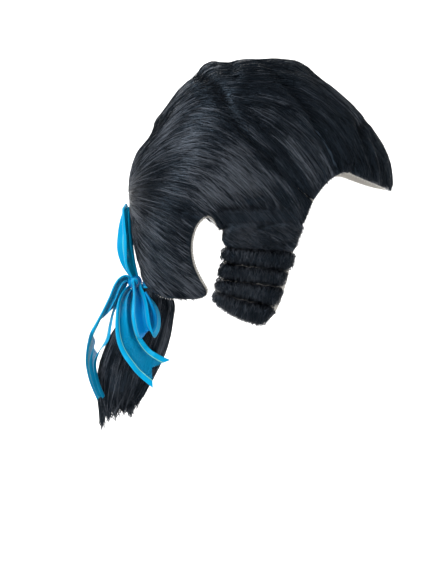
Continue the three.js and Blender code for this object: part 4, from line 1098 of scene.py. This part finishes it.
def organza_material(name, settings, sheerness, colours, folded=0.0, thins=(1.5, 2.6), slant=0.0):
    """Sheer organza on its own UV map: satin borders, a thread line inside each, and an open centre.

    U runs across the ribbon from 0 to 1, V along it in widths from the knot, where its gathered layers hide
    more. sheerness is the centre's opacity beyond them, thins says from where to where it is reached,
    folded adds to it near a folded end and paints that end darker as painted shade, slant sets both
    changes askew as a twist does, and colours are its two shades.
    """
    material, tree, shader, add = fresh_material(name)
    uv = add("ShaderNodeUVMap", uv_map="UVMap").outputs["UV"]
    split = add("ShaderNodeSeparateXYZ", {0: uv})
    off = add("ShaderNodeMath", {0: split.outputs["X"], 1: 0.5}, operation="SUBTRACT")
    side = add("ShaderNodeMath", {0: off.outputs[0]}, operation="ABSOLUTE")
    border = 0.5 - settings.border_width / settings.ribbon_width
    thread = settings.thread_width / settings.ribbon_width
    satin = add("ShaderNodeMapRange", {"Value": side.outputs[0], 1: border - 0.01, 2: border + 0.01})
    line_in = add("ShaderNodeMath", {0: side.outputs[0], 1: border - thread}, operation="SUBTRACT")
    line_off = add("ShaderNodeMath", {0: line_in.outputs[0]}, operation="ABSOLUTE")
    line = add("ShaderNodeMapRange", {"Value": line_off.outputs[0], 1: thread * 0.35, 2: thread * 0.65,
                                      3: 1.0, 4: 0.0})
    weft = add("ShaderNodeTexWave", {"Vector": uv, "Scale": 18.0, "Distortion": 0.3}, bands_direction="Y")
    warp = add("ShaderNodeTexWave", {"Vector": uv, "Scale": 22.0, "Distortion": 0.3}, bands_direction="X")
    weave = add("ShaderNodeMath", {0: weft.outputs["Fac"], 1: warp.outputs["Fac"]}, operation="MULTIPLY")
    cloud = add("ShaderNodeTexNoise", {"Vector": uv, "Scale": 1.6, "Detail": 2.0})
    sheer = add("ShaderNodeMix", {"Factor": cloud.outputs["Fac"], 6: (*colours[0], 1.0),
                                  7: (*colours[1], 1.0)}, data_type="RGBA")
    edge = add("ShaderNodeMix", {"Factor": satin.outputs[0], 6: sheer.outputs[2],
                                 7: (*settings.satin_colour, 1.0)}, data_type="RGBA")
    seen = add("ShaderNodeMath", {0: line.outputs[0], 1: 0.4 if sheerness > 0.6 else 0.9},
               operation="MULTIPLY")
    down = add("ShaderNodeMath", {0: off.outputs[0], 1: slant, 2: split.outputs["Y"]},
               operation="MULTIPLY_ADD")
    up = add("ShaderNodeMath", {0: off.outputs[0], 1: -slant, 2: split.outputs["Y"]},
             operation="MULTIPLY_ADD")
    fold = add("ShaderNodeMapRange", {"Value": up.outputs[0], 1: 2.80, 2: 2.85, 3: 0.0, 4: folded})
    full = add("ShaderNodeMix", {"Factor": seen.outputs[0], 6: edge.outputs[2],
                                 7: (*settings.thread_colour, 1.0)}, data_type="RGBA")
    # Painted shade: the folded end is painted darker, the shade inside its fold.
    shaded = add("ShaderNodeMix", {"Factor": fold.outputs[0], 6: full.outputs[2],
                                   7: (*[c * 0.4 for c in settings.organza_light], 1.0)}, data_type="RGBA")
    tree.links.new(shaded.outputs[2], shader.inputs["Base Color"])
    solid = add("ShaderNodeMath", {0: satin.outputs[0], 1: line.outputs[0]}, operation="MAXIMUM")
    weave_part = add("ShaderNodeMath", {0: weave.outputs[0], 1: 0.10}, operation="MULTIPLY")
    layers = add("ShaderNodeMapRange", {"Value": down.outputs[0], 1: thins[0], 2: thins[1],
                                        3: 0.90, 4: sheerness})
    layered = add("ShaderNodeMath", {0: fold.outputs[0], 1: layers.outputs[0]}, operation="ADD")
    open_part = add("ShaderNodeMath", {0: weave_part.outputs[0], 1: layered.outputs[0]}, operation="ADD")
    alpha = add("ShaderNodeMapRange", {"Value": solid.outputs[0], 3: open_part.outputs[0], 4: 0.97})
    tree.links.new(alpha.outputs[0], shader.inputs["Alpha"])
    bump = add("ShaderNodeBump", {"Height": weave.outputs[0], "Strength": 0.15, "Distance": 0.0002})
    tree.links.new(bump.outputs["Normal"], shader.inputs["Normal"])
    shader.inputs["Roughness"].default_value = 0.34
    shader.inputs["Specular IOR Level"].default_value = 0.4
    shader.inputs["Specular Tint"].default_value = (0.10, 0.70, 1.0, 1.0)
    shader.inputs["Sheen Weight"].default_value = 0.10
    shader.inputs["Sheen Roughness"].default_value = 0.3
    shader.inputs["Sheen Tint"].default_value = (0.10, 0.70, 1.0, 1.0)
    return material


def plain_material(name, colour, roughness):
    material, _, shader, _ = fresh_material(name)
    shader.inputs["Base Color"].default_value = (*colour, 1.0)
    shader.inputs["Roughness"].default_value = roughness
    return material


def colour_property(name, description, default):
    return FloatVectorProperty(name=name, description=description, default=default, subtype="COLOR",
                               min=0.0, max=1.0)


def length_property(name, description, default):
    return FloatProperty(name=name, description=description, default=default, min=0.0, unit="LENGTH",
                         precision=5)


class WigHairSettings(bpy.types.PropertyGroup):
    strand_length: length_property("Strand length", "Mean length of the panels' strands that shows", 0.040)
    strand_width: length_property("Strand width", "Half width of a strand of combed hair", 0.00036)
    pile_lift: length_property("Pile lift", "How far the strands' tips stand off the pile", 0.0010)
    back_strands: IntProperty(name="Back strands", description="Strands on the back panel",
                              default=9000, min=100)
    crown_strands: IntProperty(name="Crown strands", description="Strands on the crown panel",
                               default=8000, min=100)
    front_strands: IntProperty(name="Front strands", description="Strands on the front panel",
                               default=2600, min=100)
    curl_strands: IntProperty(name="Curl strands", description="Strands on each side curl",
                              default=950, min=50)
    queue_strands: IntProperty(name="Queue strands", description="Strands of the queue",
                               default=4600, min=100)
    hair_dark: colour_property("Dark hair", "The darkest strands", (0.0003, 0.0005, 0.0011))
    hair_mid: colour_property("Middle hair", "Most strands", (0.0016, 0.0026, 0.0046))
    hair_light: colour_property("Light hair", "The palest strands", (0.062, 0.068, 0.080))


class WigKnitSettings(bpy.types.PropertyGroup):
    stitch_pitch: length_property("Stitch pitch", "Distance between the stitches of the overcast rim",
                                  0.0024)
    knit_colour: colour_property("Knit", "Colour of the foundation", (0.50, 0.48, 0.44))
    stitch_colour: colour_property("Thread", "Colour of the sewing thread", (0.72, 0.70, 0.66))


class WigRibbonSettings(bpy.types.PropertyGroup):
    ribbon_width: length_property("Ribbon width", "Full width of the ribbon", 0.025)
    ribbon_thickness: length_property("Ribbon thickness", "Thickness of the organza", 0.0003)
    border_width: length_property("Border width", "Width of each satin border", 0.0042)
    thread_width: length_property("Thread width", "Width of the thread inside each border", 0.0005)
    satin_colour: colour_property("Satin", "Colour of the borders", (0.0, 0.24, 0.45))
    organza_light: colour_property("Organza", "Colour of the sheer centre where it is one layer",
                                   (0.0, 0.18, 0.36))
    # Painted light: a paler copy of the organza for where light comes through it.
    organza_bright: colour_property("Lit organza", "Colour of the centre where light comes through it",
                                    (0.0, 0.40, 0.60))
    organza_deep: colour_property("Deep organza", "Colour of the centre where it gathers",
                                  (0.0, 0.12, 0.46))
    thread_colour: colour_property("Thread", "Colour of the thread line", (0.22, 0.52, 0.36))


class WigStageSettings(bpy.types.PropertyGroup):
    distance: FloatProperty(name="Distance", description="Camera distance", default=2.5, unit="LENGTH")
    elevation: FloatProperty(name="Elevation", description="Camera height above level",
                             default=math.radians(1.0), unit="ROTATION")
    floor_drop: length_property("Floor drop", "How far the floor is below the queue's tip", 0.160)
    key_power: FloatProperty(name="Key light", description="Power of the large light above",
                             default=40.0, unit="POWER")
    fill_power: FloatProperty(name="Fill light", description="Power of the fill light",
                              default=12.0, unit="POWER")
    wall_power: FloatProperty(name="Wall light", description="Power of the light on the backdrop, in watts",
                              default=150.0, unit="POWER")


class WIG_OT_foundation(bpy.types.Operator):
    """Makes the knitted foundation and its overcast rim"""
    bl_idname = "wig.foundation"
    bl_label = "Foundation cap"

    def execute(self, context):
        settings = context.scene.wig_knit
        material = knit_material(settings)
        backing_piece(material)
        rim_stitches(settings, plain_material("sewing_thread", settings.stitch_colour, 0.8))
        return {"FINISHED"}


class WIG_OT_panels(bpy.types.Operator):
    """Makes the back, crown and front hair panels"""
    bl_idname = "wig.panels"
    bl_label = "Hair panels"

    def execute(self, context):
        settings = context.scene.wig_hair
        material = hair_material(settings)
        panel_piece("back_panel", back_region, settings.back_strands, settings, material, 11)
        panel_piece("crown_panel", crown_region, settings.crown_strands, settings, material, 12)
        panel_piece("front_panel", front_region, settings.front_strands, settings, material, 13)
        return {"FINISHED"}


class WIG_OT_curls(bpy.types.Operator):
    """Makes the five rolled curls of each side tab"""
    bl_idname = "wig.curls"
    bl_label = "Side curls"

    def execute(self, context):
        settings = context.scene.wig_hair
        material = bpy.data.materials["combed_black_hair"]
        for side in (-1, 1):
            for row in range(len(CURL_LINES) - 1):
                curl_piece(row, side, settings, material)
        return {"FINISHED"}


class WIG_OT_queue(bpy.types.Operator):
    """Makes the tied pony-tail"""
    bl_idname = "wig.queue"
    bl_label = "Queue"

    def execute(self, context):
        queue_piece(context.scene.wig_hair, bpy.data.materials["combed_black_hair"])
        return {"FINISHED"}


class WIG_OT_bow(bpy.types.Operator):
    """Makes the ribbon's band, knot, two loops and two tails"""
    bl_idname = "wig.bow"
    bl_label = "Ribbon bow"

    def execute(self, context):
        settings = context.scene.wig_ribbon
        deep = (settings.organza_deep, settings.satin_colour)
        teal = (settings.organza_light, settings.organza_light)
        # The lifted loop's second colour is the lit organza: painted light coming through the sheer loop.
        bright = (settings.satin_colour, settings.organza_bright)
        lit = (settings.organza_light, settings.satin_colour)
        gathered = organza_material("organza_gathered", settings, 0.80, deep)
        lifted = organza_material("organza_lifted", settings, 0.70, bright)
        hanging = organza_material("organza_hanging", settings, 0.40, teal)
        open_weave = organza_material("organza_open", settings, 0.03, lit, 0.70, (1.60, 1.66), 0.9)
        band_piece(gathered)
        knot_piece(gathered)
        ribbon_piece("bow_loop_upper", UPPER_LOOP, 1, 0.0, 0.0, settings, lifted)
        ribbon_piece("bow_loop_lower", LOWER_LOOP, 1, 0.0, 0.0, settings, gathered)
        ribbon_piece("ribbon_tail_side", SIDE_TAIL, 2, 0.010, 0.25, settings, hanging)
        ribbon_piece("ribbon_tail_rear", REAR_TAIL, 2, 0.004, 0.10, settings, open_weave)
        return {"FINISHED"}


class WIG_OT_stage(bpy.types.Operator):
    """Sets the pale floor and backdrop, the studio lights and the camera"""
    bl_idname = "wig.stage"
    bl_label = "Stage"

    def execute(self, context):
        settings = context.scene.wig_stage
        floor = CAD_BOX[0][2] - settings.floor_drop
        half, bend, wall = 4.5, 1.0, 3.0
        side, run = np.meshgrid(np.linspace(-half, half, 9),
                                np.linspace(0, 2 * half + bend * math.pi / 2 + wall, 160), indexing="ij")
        turned = np.clip((run - 2 * half) / bend, 0, math.pi / 2)
        y = np.minimum(run, 2 * half) - half + bend * np.sin(turned)
        z = bend * (1 - np.cos(turned)) + np.maximum(run - 2 * half - bend * math.pi / 2, 0)
        points = np.stack([side, y, floor + z], -1)
        rows, columns = side.shape
        i, k = np.meshgrid(np.arange(rows - 1), np.arange(columns - 1), indexing="ij")
        a = (i * columns + k).ravel()
        quads = np.stack([a, a + columns, a + columns + 1, a + 1], 1)
        mesh = bpy.data.meshes.new("studio_sweep")
        mesh.from_pydata(points.reshape(-1, 3).tolist(), [], quads.tolist())
        mesh.polygons.foreach_set("use_smooth", np.ones(len(quads), bool))
        mesh.materials.append(plain_material("studio_paper", (0.94, 0.94, 0.94), 1.0))
        sweep = bpy.data.objects.new("studio_sweep", mesh)
        context.scene.collection.objects.link(sweep)
        world = bpy.data.worlds.new("studio")
        world.use_nodes = True
        world.node_tree.nodes["Background"].inputs["Color"].default_value = (1.0, 1.0, 1.0, 1.0)
        world.node_tree.nodes["Background"].inputs["Strength"].default_value = 0.72
        context.scene.world = world
        context.scene.view_settings.view_transform = "Standard"
        middle = Vector((-0.01, 0.0, -0.13))
        wall_middle = Vector((0.0, 5.5, 0.0))
        for name, place, target, size, power in (
                ("key", (-1.3, -0.75, 0.95), middle, 0.9, settings.key_power),
                ("fill", (1.2, -1.4, 0.5), middle, 1.2, settings.fill_power),
                ("back", (-0.4, 1.3, 0.9), middle, 1.0, settings.fill_power),
                ("wall", (0.0, 3.0, 2.6), wall_middle, 2.4, settings.wall_power)):
            light = bpy.data.lights.new(name, "AREA")
            light.energy = power
            light.size = size
            lamp = bpy.data.objects.new(name, light)
            lamp.location = place
            lamp.rotation_euler = (target - Vector(place)).to_track_quat("-Z", "Y").to_euler()
            context.scene.collection.objects.link(lamp)
        # The photograph's frame is 370.6 by 509 mm at the object, centred on this point.
        aim = Vector((-0.0426, 0.0, -0.1958))
        tall = 0.509
        camera = bpy.data.cameras.new("camera")
        camera.sensor_fit = "VERTICAL"
        camera.sensor_height = 36.0
        camera.sensor_width = 36.0
        camera.lens = camera.sensor_height * settings.distance / tall
        holder = bpy.data.objects.new("camera", camera)
        back = Vector((0.0, -math.cos(settings.elevation), math.sin(settings.elevation)))
        holder.location = aim + back * settings.distance
        holder.rotation_euler = (-back).to_track_quat("-Z", "Y").to_euler()
        context.scene.collection.objects.link(holder)
        context.scene.camera = holder
        return {"FINISHED"}


class WIG_PT_sidebar(bpy.types.Panel):
    """Lists the wig's sizes, colours and makers"""
    bl_idname = "WIG_PT_sidebar"
    bl_label = "Queue wig"
    bl_space_type = "VIEW_3D"
    bl_region_type = "UI"
    bl_category = "Wig"

    def draw(self, context):
        layout = self.layout
        for group in (context.scene.wig_hair, context.scene.wig_knit, context.scene.wig_ribbon,
                      context.scene.wig_stage):
            box = layout.box()
            for key in group.__annotations__:
                box.prop(group, key)
        for operator in MAKERS:
            layout.operator(operator.bl_idname)


MAKERS = (WIG_OT_foundation, WIG_OT_panels, WIG_OT_curls, WIG_OT_queue, WIG_OT_bow, WIG_OT_stage)
SETTINGS = {"wig_hair": WigHairSettings, "wig_knit": WigKnitSettings,
            "wig_ribbon": WigRibbonSettings, "wig_stage": WigStageSettings}


def register():
    for made in (*SETTINGS.values(), *MAKERS, WIG_PT_sidebar):
        bpy.utils.register_class(made)
    for key, group in SETTINGS.items():
        setattr(bpy.types.Scene, key, PointerProperty(type=group))


def unregister():
    for key in SETTINGS:
        delattr(bpy.types.Scene, key)
    for made in reversed((*SETTINGS.values(), *MAKERS, WIG_PT_sidebar)):
        bpy.utils.unregister_class(made)


def main():
    register()
    bpy.ops.wig.stage()
    bpy.ops.wig.foundation()
    bpy.ops.wig.panels()
    bpy.ops.wig.curls()
    bpy.ops.wig.queue()
    bpy.ops.wig.bow()


if __name__ == "__main__":
    main()
